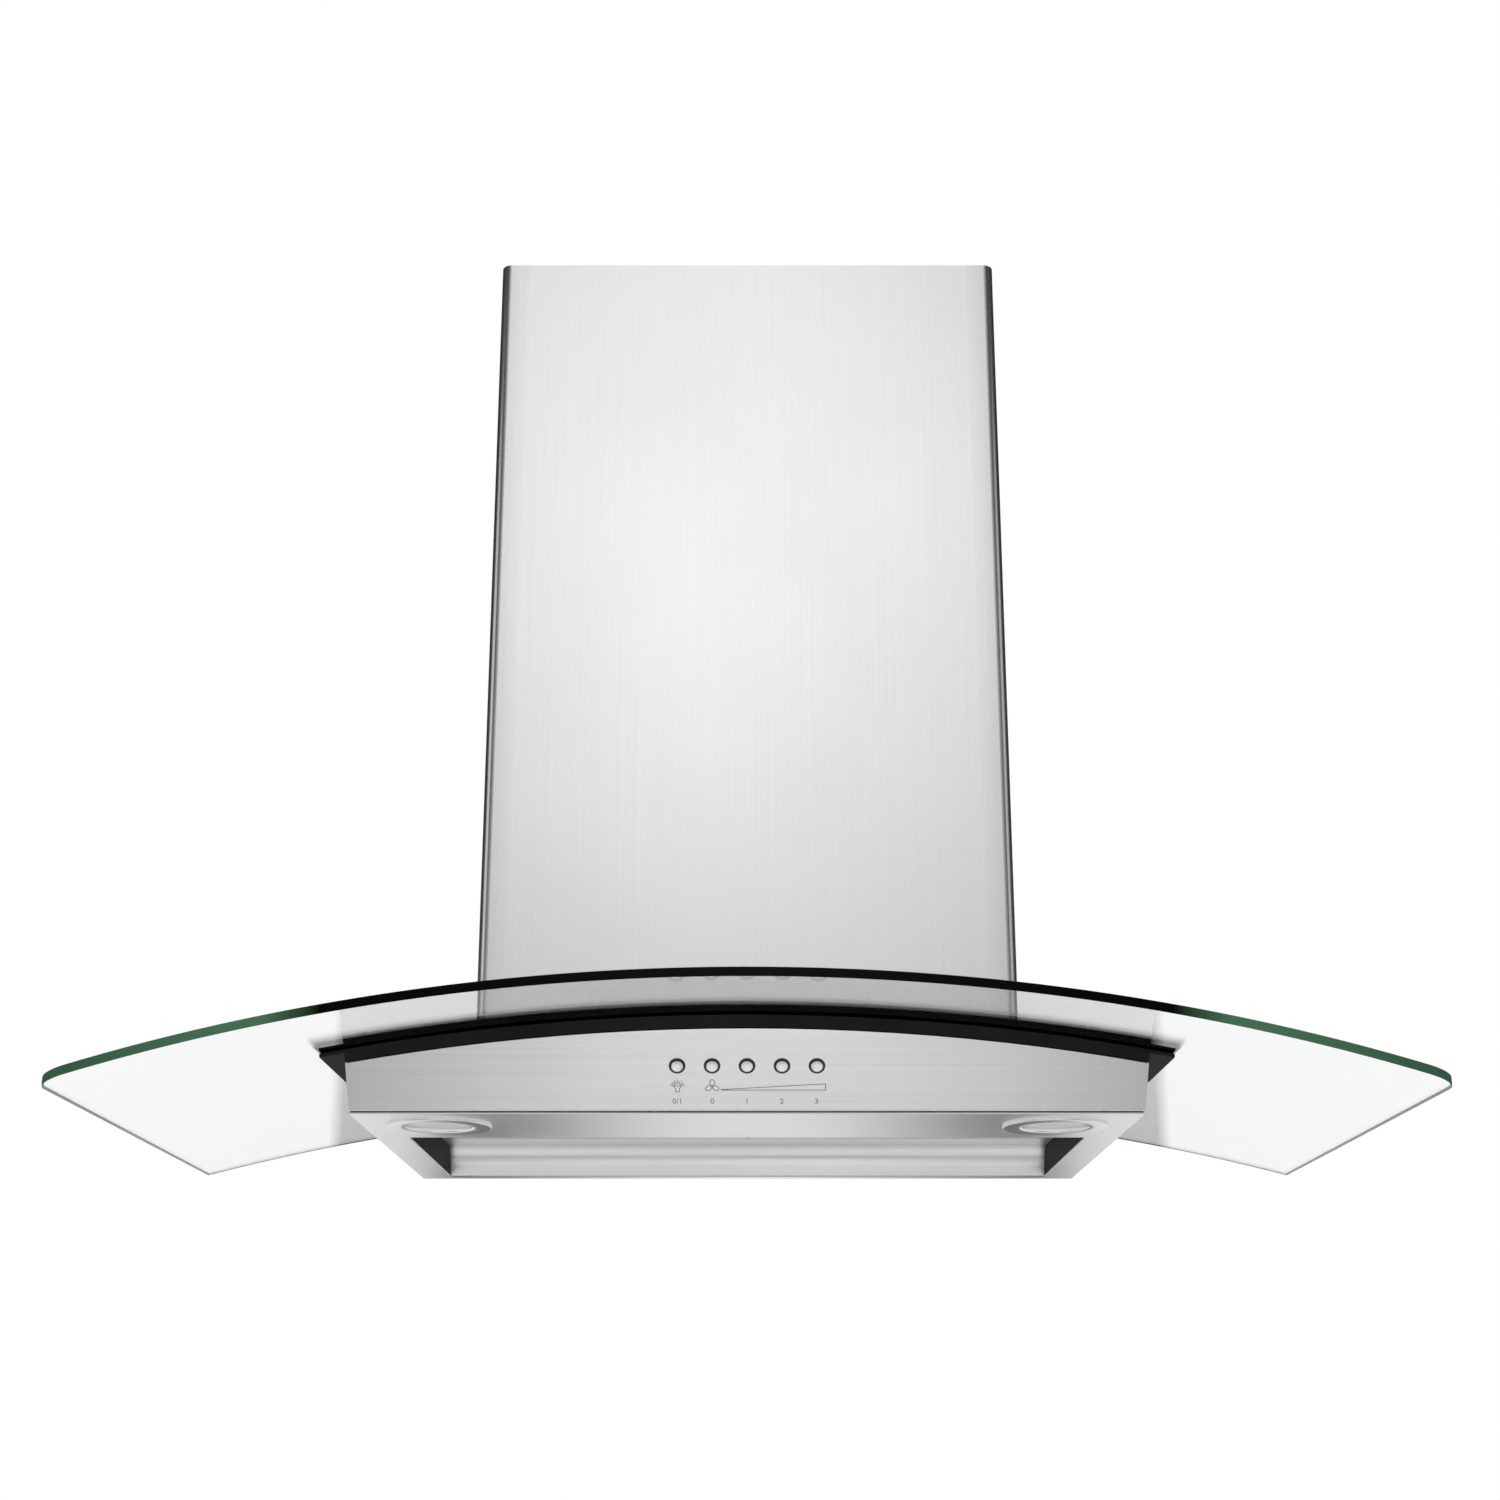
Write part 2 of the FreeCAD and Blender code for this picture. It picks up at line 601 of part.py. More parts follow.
def glass_clamp(label, side):
    """Steel strip on the glass beside the blower, under the chimney."""
    body = new_body(label)
    low, high = sorted((f"{side} * {CLAMP_INNER}", f"{side} * {CLAMP_OUTER}"), key=value)
    low_r, high_r = f"({GLASS_TOP} + layer_gap)", f"({GLASS_TOP} + layer_gap + clamp_thick)"
    arch_slab(body, low_r, high_r, low, high, "clamp_front")
    beyond = box_loop(f"{low} - {BEYOND}", f"{high} + {BEYOND}", "-clamp_back", BEYOND)
    cut(body, "XY", [beyond])
    cut(body, "XY", clamp_holes("clamp_hole_radius", [side]))
    return body


def glass_clamp_screws():
    """Six socket screws square to the glass, through clamp, glass, gasket and seat."""
    shank, head = value("clamp_screw_radius"), value("clamp_head_radius")
    socket_radius, head_height = value("clamp_socket_radius"), value("clamp_head_height")
    seat = value(f"{GLASS_TOP} + clamp_thick + 2 * layer_gap")
    length = seat - value(f"{SEAT_LOW} - clamp_screw_reach")
    screw = Part.makeCylinder(head, head_height, Vector(0, 0, seat))
    screw = screw.fuse(Part.makeCylinder(shank, length, Vector(0, 0, seat - length)))
    socket = Part.makeCylinder(socket_radius, head_height / 2, Vector(0, 0, seat + head_height / 2))
    screw = screw.cut(socket)
    axis_height = value("crown - glass_radius")
    across = value(f"({CLAMP_INNER} + {CLAMP_OUTER}) / 2")
    tilt = math.degrees(math.asin(across / value(f"{GLASS_TOP}")))
    solids = []
    for side in (-1, 1):
        for step in (-1, 0, 1):
            along = value(f"-((clamp_back + clamp_front) / 2 + {step} * clamp_screw_spacing)")
            copy = screw.copy()
            turn = Rotation(Vector(0, 1, 0), side * tilt)
            copy.Placement = Placement(Vector(0, along, axis_height), turn)
            solids.append(copy)
    return group("glass_clamp_screws", solids)


# ---- body --------------------------------------------------------------------------------------

def front_panel():
    """Leaning steel sheet with an arched top, a folded lower edge and five button holes."""
    body = new_body("front_panel", "panel")
    fold = "(hem_height / cos(panel_lean))"
    tangent = "(hem_bend * tan((90 - panel_lean) / 2))"
    start = f"({fold} + {tangent})"
    # The sheet's edge is square to its face, so its inner side reaches higher than its outer side.
    square_edge = "gauge * sin(panel_lean)"
    middle = f"(({arch('0', LIP_LOW)} - lip_gap - {square_edge}) / cos(panel_lean))"
    end = f"(({arch(HALF_BODY, LIP_LOW)} - lip_gap - {square_edge}) / cos(panel_lean))"
    top_radius = f"(({HALF_BODY}^2 + ({middle} - {end})^2) / (2 * ({middle} - {end})))"
    outline = [
        (f"-{HALF_BODY}", start),
        (HALF_BODY, start),
        (HALF_BODY, end, top_radius, 1),
        (f"-{HALF_BODY}", end),
    ]
    pad(body, "XY", [outline], "gauge", "down")
    # The fold runs on from the slope to the horizontal; along and inward are its two directions.
    along = ("-sin(panel_lean)", "-cos(panel_lean)")
    inward = ("cos(panel_lean)", "-sin(panel_lean)")

    def fold_point(length, depth):
        return tuple(
            f"({base} + ({length}) * ({a}) + ({depth}) * ({b}))"
            for base, a, b in zip((fold, "0"), along, inward)
        )

    hem = [
        (start, "0", "hem_bend", 1),
        fold_point(tangent, "0"),
        fold_point("hem_length", "0"),
        fold_point("hem_length", "gauge"),
        fold_point(tangent, "gauge") + ("(hem_bend - gauge)", -1),
        (start, "-gauge"),
    ]
    pad(body, "YZ", [hem], "body_width - 2 * gauge", "both")
    holes = [("circle", f"{place} * button_pitch", "button_rise", "sleeve_radius + sleeve_fit")
             for place in range(-2, 3)]
    cut(body, "XY", holes)
    return body


def body_side(label, side):
    """Upright side sheet, from the back panel to the slope, under the glass seat."""
    body = new_body(label)
    top = arch(HALF_BODY, SEAT_LOW)
    outline = [
        ("-back_gauge", "0"),
        (f"-{slope_at('0', 'gauge')}", "0"),
        (f"-{slope_at(top, 'gauge')}", top),
        ("-back_gauge", top),
    ]
    inner = f"{side} * {HALF_BODY}"
    pad(body, "YZ", [outline], "gauge", "down" if side > 0 else "up", inner)
    return body


def bottom_pan():
    """Underside sheet with the intake opening, its turned-up front edge and two lamp holes."""
    body = new_body("bottom_pan")
    half = f"({HALF_BODY} - gauge)"
    outline = box_loop(f"-{half}", half, "-bottom_depth", "-back_gauge")
    intake = box_loop(f"-{HALF_INTAKE}", HALF_INTAKE, f"-{INTAKE_FRONT}", "-intake_back")
    lamps = [("circle", f"{side} * lamp_offset", f"-{LAMP_DEPTH}", "lamp_hole_radius") for side in (-1, 1)]
    pad(body, "XY", [outline, intake] + lamps, "gauge")
    lip = box_loop(f"-{HALF_INTAKE}", HALF_INTAKE, f"-({INTAKE_FRONT} + gauge)", f"-{INTAKE_FRONT}")
    pad(body, "XY", [lip], FILTER_LOW)
    return body


def back_panel():
    """Sheet on the wall: the body's back, and a spine above the glass with the wall holes."""
    body = new_body("back_panel")
    spine = "(spine_width / 2)"
    rest = f"({SEAT_LOW} - layer_gap)"
    outline = [
        (f"-{HALF_BODY}", "0"),
        (HALF_BODY, "0"),
        (HALF_BODY, arch(HALF_BODY, rest), rest, 1),
        (spine, arch(spine, rest)),
        (spine, "casing_top"),
        (f"-{spine}", "casing_top"),
        (f"-{spine}", arch(spine, rest), rest, 1),
        (f"-{HALF_BODY}", arch(HALF_BODY, rest)),
    ]
    pad(body, "XZ", [outline], "back_gauge")
    holes = []
    for side in (-1, 1):
        for up in (-1, 1):
            place = (f"{side} * (spine_width / 2 - wall_hole_inset)", f"mount_height + {up} * wall_rise / 2")
            holes.append(("circle", *place, "wall_hole_radius"))
    cut(body, "XZ", holes)
    return body


def intake_liner():
    """Bent sheet inside the opening: rear wall, ceiling strip and the two side walls."""
    body = new_body("intake_liner")
    ceiling, bend = "liner_ceiling", "liner_bend"
    profile = [
        ("-intake_back", "gauge"),
        ("-intake_back", f"{ceiling} - {bend}", bend, 1),
        (f"-(intake_back + {bend})", ceiling),
        ("-ledge_depth", ceiling),
        ("-ledge_depth", f"{ceiling} + gauge"),
        (f"-(intake_back + {bend})", f"{ceiling} + gauge", f"({bend} + gauge)", -1),
        ("-(intake_back - gauge)", f"{ceiling} - {bend}"),
        ("-(intake_back - gauge)", "gauge"),
    ]
    pad(body, "YZ", [profile], f"2 * {HALF_INTAKE}", "both")
    walls = []
    for side in (-1, 1):
        near, far = f"{side} * {HALF_INTAKE}", f"{side} * ({HALF_INTAKE} + gauge)"
        walls.append(box_loop(near, far, f"-({INTAKE_FRONT} + gauge)", "-(intake_back - gauge)"))
    pad(body, "XY", walls, f"{DECK_LOW} - gauge", offset="gauge")
    return body


def foot_screw_places():
    """The casing's foot screws in plan."""
    middle = f"(casing_back + {CASING_FRONT}) / 2"
    across = "(casing_width / 2 + casing_flange / 2)"
    return [
        (f"{side} * {across}", f"-({middle} + {step} * foot_screw_pitch)")
        for side in (-1, 1) for step in (-1, 0, 1)
    ]


def screw_holes(places):
    """Screw holes at places in plan."""
    return [("circle", across, along, "screw_radius + screw_hole_fit") for across, along in places]


def blower_deck():
    """Sheet above the filters that carries the blower, with its air hole."""
    body = new_body("blower_deck")
    half = f"({HALF_BODY} - gauge)"
    outline = box_loop(f"-{half}", half, f"-({CASING_FRONT} + casing_flange + deck_margin)", "-back_gauge")
    pad(body, "XY", [outline, casing_loop("deck_hole_inset")], "gauge", offset=DECK_LOW)
    cut(body, "XY", screw_holes(foot_screw_places()))
    return body


# ---- grease filters ----------------------------------------------------------------------------

def filter_ends(side, inset="0"):
    """The two ends of a filter along X, low then high."""
    near = f"{side} * (filter_middle_gap + {inset})"
    far = f"{side} * ({HALF_INTAKE} - filter_side_gap - {inset})"
    return sorted((near, far), key=value)


FILTER_BACK = "(ledge_depth + filter_back_gap)"
FILTER_FRONT = f"({INTAKE_FRONT} - filter_front_gap)"


def filter_frame(label, side):
    """Channel frame, with a tongue over the ceiling strip and a finger pull at the front."""
    body = new_body(label)
    outer = box_loop(*filter_ends(side), f"-{FILTER_FRONT}", f"-{FILTER_BACK}")
    inner = box_loop(*filter_ends(side, "filter_rim"),
                     f"-({FILTER_FRONT} - filter_rim)", f"-({FILTER_BACK} + filter_rim)")
    pad(body, "XY", [outer, inner], "filter_thick", offset=FILTER_LOW)
    tongue = box_loop(*filter_ends(side, "tongue_inset"), f"-{FILTER_BACK}", "-(ledge_depth - tongue_reach)")
    pad(body, "XY", [tongue], "tongue_thick", offset="liner_ceiling + gauge + tongue_gap")
    middle = "(" + " + ".join(filter_ends(side)) + ") / 2"
    pull = box_loop(f"{middle} - pull_width / 2", f"{middle} + pull_width / 2",
                    f"-({FILTER_FRONT} - filter_rim + pull_thick)", f"-({FILTER_FRONT} - filter_rim)")
    pad(body, "XY", [pull], "pull_drop", "down", offset=FILTER_LOW)
    return body


def filter_mesh(label, side):
    """Layered aluminium mesh, a pad that fills the frame."""
    body = new_body(label)
    face = box_loop(*filter_ends(side, "(filter_rim + mesh_gap)"),
                    f"-({FILTER_FRONT} - filter_rim - mesh_gap)", f"-({FILTER_BACK} + filter_rim + mesh_gap)")
    pad(body, "XY", [face], "filter_thick - 2 * mesh_inset", offset=f"{FILTER_LOW} + mesh_inset")
    return body


def filter_clip(label, side):
    """Leaf spring on the turned-up edge, with a nose under the filter's front rail."""
    body = new_body(label)
    back, top = INTAKE_FRONT, f"({FILTER_LOW} - clip_gap)"
    nose, bend = f"({back} - clip_nose)", f"({top} - clip_nose / 2)"
    leaf = [
        (f"-{back}", "clip_foot"),
        (f"-({back} - clip_thick)", "clip_foot"),
        (f"-({back} - clip_thick)", f"{bend} - clip_nose"),
        (f"-{nose}", bend),
        (f"-{nose}", top),
        (f"-({nose} + clip_thick)", top),
        (f"-({nose} + clip_thick)", f"{bend} + clip_thick / 3"),
        (f"-{back}", f"{bend} - clip_nose + clip_thick / 3"),
    ]
    middle = "(" + " + ".join(filter_ends(side)) + ") / 2"
    pad(body, "YZ", [leaf], "clip_width", offset=f"{middle} - clip_width / 2")
    return body


# ---- lamps -------------------------------------------------------------------------------------

def turned_at(label, side, loops):
    """A lamp piece, turned about its own axis and set over its hole."""
    body = new_body(label)
    revolve(body, loops)
    body.setExpression("Placement.Base.x", formula(f"{side} * lamp_offset"))
    body.setExpression("Placement.Base.y", formula(f"-{LAMP_DEPTH}"))
    return body


def lamp_ring(label, side):
    """Bezel: a low flange under the pan, a cone up to the lens and a neck through the hole."""
    neck = "(lamp_hole_radius - lamp_fit)"
    loop = [
        ("lamp_ring_radius", "0"),
        ("lamp_ring_radius", "-lamp_ring_drop / 2"),
        ("lamp_ring_radius - lamp_ring_drop / 2", "-lamp_ring_drop"),
        ("lamp_hole_radius", "-lamp_ring_drop"),
        ("lamp_view_radius", "lamp_recess - gauge"),
        ("lamp_view_radius", "lamp_recess"),
        (f"{neck} - lamp_neck_wall", "lamp_recess"),
        (f"{neck} - lamp_neck_wall", "lamp_neck_height"),
        (neck, "lamp_neck_height"),
        (neck, "0"),
    ]
    return turned_at(label, side, [loop])


LAMP_INSIDE = "(lamp_hole_radius - 2 * lamp_fit - lamp_neck_wall)"


def lamp_lens(label, side):
    """Frosted disc on the ring's inner ledge."""
    loop = box_loop("0", LAMP_INSIDE, "lamp_recess", "lamp_recess + lamp_lens_thick")
    return turned_at(label, side, [loop])


def lamp_module(label, side):
    """Light source with its heat sink, on the lens."""
    low, high = "(lamp_recess + lamp_lens_thick)", "(lamp_recess + lamp_lens_thick + lamp_body_height)"
    loop = [
        ("0", low),
        (LAMP_INSIDE, low),
        (LAMP_INSIDE, f"{low} + lamp_rim"),
        (f"{LAMP_INSIDE} - lamp_sink_inset", f"{low} + lamp_rim"),
        (f"{LAMP_INSIDE} - lamp_sink_inset", f"{high} - lamp_sink_inset"),
        (f"{LAMP_INSIDE} - 2 * lamp_sink_inset", high),
        ("0", high),
    ]
    return turned_at(label, side, [loop])


# ---- push buttons ------------------------------------------------------------------------------

SPRING_RADIUS = "(switch_size / sqrt(2) + spring_clearance + spring_wire)"
COLLAR_RADIUS = f"({SPRING_RADIUS} + spring_wire + collar_lip)"
COLLAR_FRONT = "(guide_shoulder + collar_gap)"
COLLAR_BACK = f"({COLLAR_FRONT} + collar_thick)"
BOARD_FACE = f"({COLLAR_BACK} + pin_length + button_travel + press_gap + switch_plunger + switch_height)"
GUIDE_HALF = "(2 * button_pitch + guide_end)"


def button(label, place):
    """Cap with its sleeve-side collar and a pin for the switch. Its axis is square to the panel."""
    body = new_body(label, "panel")
    at = (f"{place} * button_pitch", "button_rise")
    length = f"button_proud + {COLLAR_FRONT}"
    pad(body, "XY", [("circle", *at, "button_radius")], length, "up", f"-{COLLAR_FRONT}")
    pad(body, "XY", [("circle", *at, COLLAR_RADIUS)], "collar_thick", "down", f"-{COLLAR_FRONT}")
    pad(body, "XY", [("circle", *at, "pin_radius")], "pin_length", "down", f"-{COLLAR_BACK}")
    face = value("button_proud")
    round_edges(body, lambda edge: abs(edge.BoundBox.ZMin - face) < NEAR, "button_edge")
    return body


def arc_between(start, corner, end):
    """Arc from start to end whose end tangents meet at the corner."""
    middle = (start + end) / 2
    half, rise = (end - start).Length / 2, (corner - middle).Length
    bow = half * math.tan(math.atan2(rise, half) / 2)
    return Part.Arc(start, middle + (corner - middle) * (bow / rise), end).toShape()


def coil(radius, wire, low, high, turns):
    """Round wire wound up from low to high. Each quarter turn is two arcs that meet smoothly."""
    steps = max(4, round(4 * turns))
    lead = (high - low) / (2 * math.pi * turns)
    spots, ways = [], []
    for step in range(steps + 1):
        angle = 2 * math.pi * turns * step / steps
        spots.append(Vector(radius * math.cos(angle), radius * math.sin(angle), low + lead * angle))
        ways.append(Vector(-radius * math.sin(angle), radius * math.cos(angle), lead).normalize())
    arcs = []
    for spot, way, next_spot, next_way in zip(spots, ways, spots[1:], ways[1:]):
        gap = next_spot - spot
        bend, along = 2 * (1 - way.dot(next_way)), gap.dot(way + next_way)
        reach = (math.sqrt(along ** 2 + bend * gap.dot(gap)) - along) / bend
        corner, next_corner = spot + way * reach, next_spot - next_way * reach
        join = (corner + next_corner) / 2
        arcs += [arc_between(spot, corner, join), arc_between(join, next_corner, next_spot)]
    ring = Part.Wire([Part.makeCircle(wire, spots[0], ways[0])])
    return Part.Wire(arcs).makePipeShell([ring], True, False)


def button_spring(label, place):
    """Open coil between the cap's collar and the switch board, round the switch."""
    wire = value("spring_wire")
    front = value(f"-({COLLAR_BACK} + spring_gap + spring_wire)")
    back = value(f"-({BOARD_FACE} - spring_gap - spring_wire)")
    spring = coil(value(SPRING_RADIUS), wire, back, front, value("spring_turns"))
    spring.translate(Vector(value(f"{place} * button_pitch"), value("button_rise"), 0))
    return group(label, [spring], "panel")


def button_guide():
    """Black moulding behind the panel: five sleeves through it, and four posts for the board."""
    body = new_body("button_guide", "panel")
    low, high = "button_rise - guide_rise / 2", "button_rise + guide_rise / 2"
    plate = box_loop(f"-{GUIDE_HALF}", GUIDE_HALF, low, high)
    pad(body, "XY", [plate], "guide_depth - gauge", "down", "-gauge")
    row = [(f"{place} * button_pitch", "button_rise") for place in range(-2, 3)]
    pad(body, "XY", [("circle", *at, "sleeve_radius") for at in row], "gauge + sleeve_proud", "up", "-gauge")
    posts = []
    for side in (-1, 1):
        for up in (-1, 1):
            across = f"{side} * ({GUIDE_HALF} - post_end_inset)"
            along = f"button_rise + {up} * (guide_rise / 2 - post_inset)"
            posts.append(("circle", across, along, "post_radius"))
    pad(body, "XY", posts, f"{BOARD_FACE} - guide_depth", "down", "-guide_depth")
    cut(body, "XY", [("circle", *at, "button_radius + button_fit") for at in row])
    cut(body, "XY", [("circle", *at, f"{COLLAR_RADIUS} + collar_fit") for at in row],
        "guide_depth - guide_shoulder", "up", "-guide_depth")
    return body


def switch_board():
    """Circuit board on the guide's posts."""
    body = new_body("switch_board", "panel")
    low, high = "button_rise - guide_rise / 2", "button_rise + guide_rise / 2"
    board = box_loop(f"-{GUIDE_HALF}", GUIDE_HALF, low, high)
    pad(body, "XY", [board], "board_thick", "down", f"-{BOARD_FACE}")
    return body


def tact_switches():
    """Five small switches on the board, one behind each button."""
    size, height = value("switch_size"), value("switch_height")
    solids = []
    for place in range(-2, 3):
        centre = Vector(value(f"{place} * button_pitch"), value("button_rise"), value(f"-{BOARD_FACE}"))
        corner = centre - Vector(size / 2, size / 2, 0)
        plunger = Part.makeCylinder(value("pin_radius"), height + value("switch_plunger"), centre)
        solids.append(Part.makeBox(size, size, height, corner).fuse(plunger))
    return group("tact_switches", solids, "panel")


# ---- blower ------------------------------------------------------------------------------------

MOTOR_NEAR = "(hub_half + motor_hub_gap)"
MOTOR_FAR = "(scroll_width / 2 - motor_end_gap)"

def casing_loop(inset="0"):
    """The blower casing in plan."""
    half = f"(casing_width / 2 - {inset})"
    return box_loop(f"-{half}", half, f"-({CASING_FRONT} - {inset})", f"-(casing_back + {inset})")


def duct_screw_places():
    """The duct collar's screws in plan."""
    reach = "(duct_flange / 2 - duct_screw_inset)"
    return [
        (f"{side} * {reach}", f"-(duct_depth + {up} * {reach})")
        for side in (-1, 1) for up in (-1, 1)
    ]


def blower_casing():
    """Sheet box on the deck, open below, with a foot flange and the duct hole."""
    body = new_body("blower_casing")
    pad(body, "XY", [casing_loop()], f"casing_top - {DECK_TOP}", offset=DECK_TOP)
    cut(body, "XY", [casing_loop("gauge")], f"casing_top - {DECK_TOP} - gauge", "up", DECK_TOP)
    half = "(casing_width / 2 + casing_flange)"
    foot = box_loop(f"-{half}", half, f"-({CASING_FRONT} + casing_flange)", "-casing_back")
    pad(body, "XY", [foot, casing_loop("gauge")], "gauge", offset=DECK_TOP)
    cut(body, "XY", [("circle", "0", "-duct_depth", "duct_radius - 2 * gauge")],
        "2 * gauge", "down", "casing_top")
    cut(body, "XY", screw_holes(foot_screw_places()), "2 * gauge", "down", f"{DECK_TOP} + gauge")
    cut(body, "XY", screw_holes(duct_screw_places()), "2 * gauge", "down", "casing_top")
    return body


def scroll_loop(inset, top):
    """Volute in three quarter arcs, with a straight outlet up to top."""
    radii = [f"({SCROLL_START} + {turn} * scroll_step - {inset})" for turn in range(3)]
    axis_y, axis_z = "(-fan_depth)", "fan_height"
    second_y, third_z = f"({axis_y} - scroll_step)", f"({axis_z} + scroll_step)"
    return [
        (f"{axis_y} - {inset}", top),
        (f"{axis_y} - {inset}", f"{axis_z} + sqrt({radii[0]}^2 - ({inset})^2)", radii[0], -1),
        (f"{axis_y} + {radii[0]}", axis_z, radii[1], -1),
        (second_y, f"{axis_z} - {radii[1]}", radii[2], -1),
        (f"{second_y} - {radii[2]}", third_z),
        (f"{second_y} - {radii[2]}", top),
    ]


def blower_scroll():
    """Spiral housing round the impeller, open at the top and at both inlets."""
    body = new_body("blower_scroll")
    top = "(casing_top - gauge - layer_gap)"
    pad(body, "YZ", [scroll_loop("0", top)], "scroll_width", "both")
    cut(body, "YZ", [scroll_loop("gauge", f"({top} + {BEYOND})")], "scroll_width - 2 * gauge")
    cut(body, "YZ", [("circle", "-fan_depth", "fan_height", "inlet_radius")])
    return body


def inlet_ring(label, side):
    """Ring in the scroll's inlet that leads the air to the impeller."""
    body = new_body(label, "fan")
    face = "scroll_width / 2"
    outer = "(inlet_radius - inlet_fit)"
    loop = [
        (f"{outer} - gauge", f"{side} * ({face} - inlet_throat)"),
        (outer, f"{side} * ({face} - inlet_throat)"),
        (outer, f"{side} * {face}"),
        ("inlet_radius + inlet_flange", f"{side} * {face}"),
        ("inlet_radius + inlet_flange", f"{side} * ({face} + gauge)"),
        (f"{outer} - gauge", f"{side} * ({face} + gauge)"),
    ]
    revolve(body, [loop])
    return body


def blower_motor():
    """Motor inside the right half of the impeller, bored for its shaft."""
    body = new_body("blower_motor", "fan")
    bore = "(shaft_radius + shaft_fit)"
    loop = [
        (bore, MOTOR_NEAR),
        ("motor_radius - motor_edge", MOTOR_NEAR),
        ("motor_radius", f"{MOTOR_NEAR} + motor_edge"),
        ("motor_radius", f"{MOTOR_FAR} - motor_edge"),
        ("motor_radius - motor_edge", MOTOR_FAR),
        ("cap_radius", MOTOR_FAR),
        ("cap_radius", f"{MOTOR_FAR} + cap_length"),
        (bore, f"{MOTOR_FAR} + cap_length"),
    ]
    revolve(body, [loop])
    return body


def motor_bracket():
    """Spider on the right inlet ring that holds the motor by its end cap."""
    body = new_body("motor_bracket", "fan")
    outer, inner = "(inlet_radius + inlet_flange)", "(cap_radius + layer_gap)"
    face = "(scroll_width / 2 + gauge)"
    disc = [("circle", "0", "0", outer), ("circle", "0", "0", inner)]
    pad(body, "XY", disc, "bracket_thick", offset=face)
    low, high = f"({inner} + bracket_ring)", f"({outer} - bracket_ring)"
    half = "((120 - bracket_arm) / 2)"
    # One window in each third. Its arcs are drawn in two halves, because each one is under half a circle.
    corners = []
    for radius, angle in ((low, f"-{half}"), (high, f"-{half}"), (high, half), (low, half)):
        corners.append((f"{radius} * cos({angle})", f"{radius} * sin({angle})"))
    window = [
        corners[0],
        corners[1] + (high, 1),
        (high, "0", high, 1),
        corners[2],
        corners[3] + (low, -1),
        (low, "0", low, -1),
    ]
    hole = cut(body, "XY", [window])
    return turn_copies(body, hole, 3)


def impeller():
    """Squirrel-cage wheel: hub and centre disc, swept blades, and a ring round each end."""
    body = new_body("impeller", "fan")
    half_disc, blade_tip = "blade_thick", "(wheel_radius - blade_inset)"
    loop = [
        ("shaft_radius", "-hub_half"),
        ("hub_radius", "-hub_half"),
        ("hub_radius", f"-{half_disc}"),
        (blade_tip, f"-{half_disc}"),
        (blade_tip, half_disc),
        ("hub_radius", half_disc),
        ("hub_radius", "hub_half"),
        ("shaft_radius", "hub_half"),
    ]
    revolve(body, [loop])
    end = "(scroll_width / 2 - inlet_throat - throat_gap)"
    ring = [("circle", "0", "0", "wheel_radius"), ("circle", "0", "0", "wheel_radius - wheel_ring")]
    blade = [
        ("wheel_inner", "0"),
        (blade_tip, "blade_sweep"),
        (blade_tip, "blade_sweep + blade_thick"),
        ("wheel_inner", "blade_thick"),
    ]
    first = pad(body, "XY", [blade], f"2 * {end}", "both")
    doc.recompute()
    turn_copies(body, first, "blade_count")
    doc.recompute()
    pad(body, "XY", ring, "wheel_ring_thick", "down", end)
    pad(body, "XY", ring, "wheel_ring_thick", "up", f"-{end}")
    return body


def motor_shaft():
    """Steel shaft from the hub to the motor's end cap."""
    item = doc.addObject("Part::Cylinder", "motor_shaft")
    item.Label = "motor_shaft"
    item.setExpression("Radius", formula("shaft_radius"))
    item.setExpression("Height", formula(f"hub_half + {MOTOR_FAR} + cap_length"))
    settle(item, "fan")
    item.setExpression("Placement.Base.x", formula("-hub_half"))
    return item


# ---- duct collar and damper --------------------------------------------------------------------

def duct_collar():
    """Round spigot on a square flange, drilled for the damper pins."""
    body = new_body("duct_collar")
    half = "(duct_flange / 2)"
    bore = ("circle", "0", "-duct_depth", "duct_radius - gauge")
    flange = box_loop(f"-{half}", half, f"-(duct_depth + {half})", f"-(duct_depth - {half})")
    pad(body, "XY", [flange, bore], "gauge", offset="casing_top")
    tube = [("circle", "0", "-duct_depth", "duct_radius"), bore]
    pad(body, "XY", tube, "duct_length", offset="casing_top + gauge")
    pins = [("circle", f"-(duct_depth + {way} * damper_offset)", "casing_top + gauge + damper_height",
             "damper_pin_radius + damper_pin_fit") for way in (-1, 1)]
    cut(body, "YZ", pins)
    cut(body, "XY", screw_holes(duct_screw_places()), "2 * gauge", "both", "casing_top")
    return body


def damper_flap(label, way):
    """Half-round flap on its pin: way is 1 for the front one, -1 for the rear one."""
    body = new_body(label)
    reach = "(duct_radius - gauge - damper_gap)"
    end = f"sqrt({reach}^2 - damper_offset^2)"
    hinge_y = f"-(duct_depth + {way} * damper_offset)"
    level = "(casing_top + gauge + damper_height)"
    # The arc is drawn in two quarters, because each one is under half a circle.
    tip = f"-(duct_depth + {way} * {reach})"
    half_disc = [
        (f"-{end}", hinge_y, reach, way),
        ("0", tip, reach, way),
        (end, hinge_y),
    ]
    pad(body, "XY", [half_disc], "damper_thick", "both", level)
    pad(body, "YZ", [("circle", hinge_y, level, "damper_pin_radius")],
        "2 * duct_radius - gauge / 2", "both")
    return body


# ---- chimney -----------------------------------------------------------------------------------

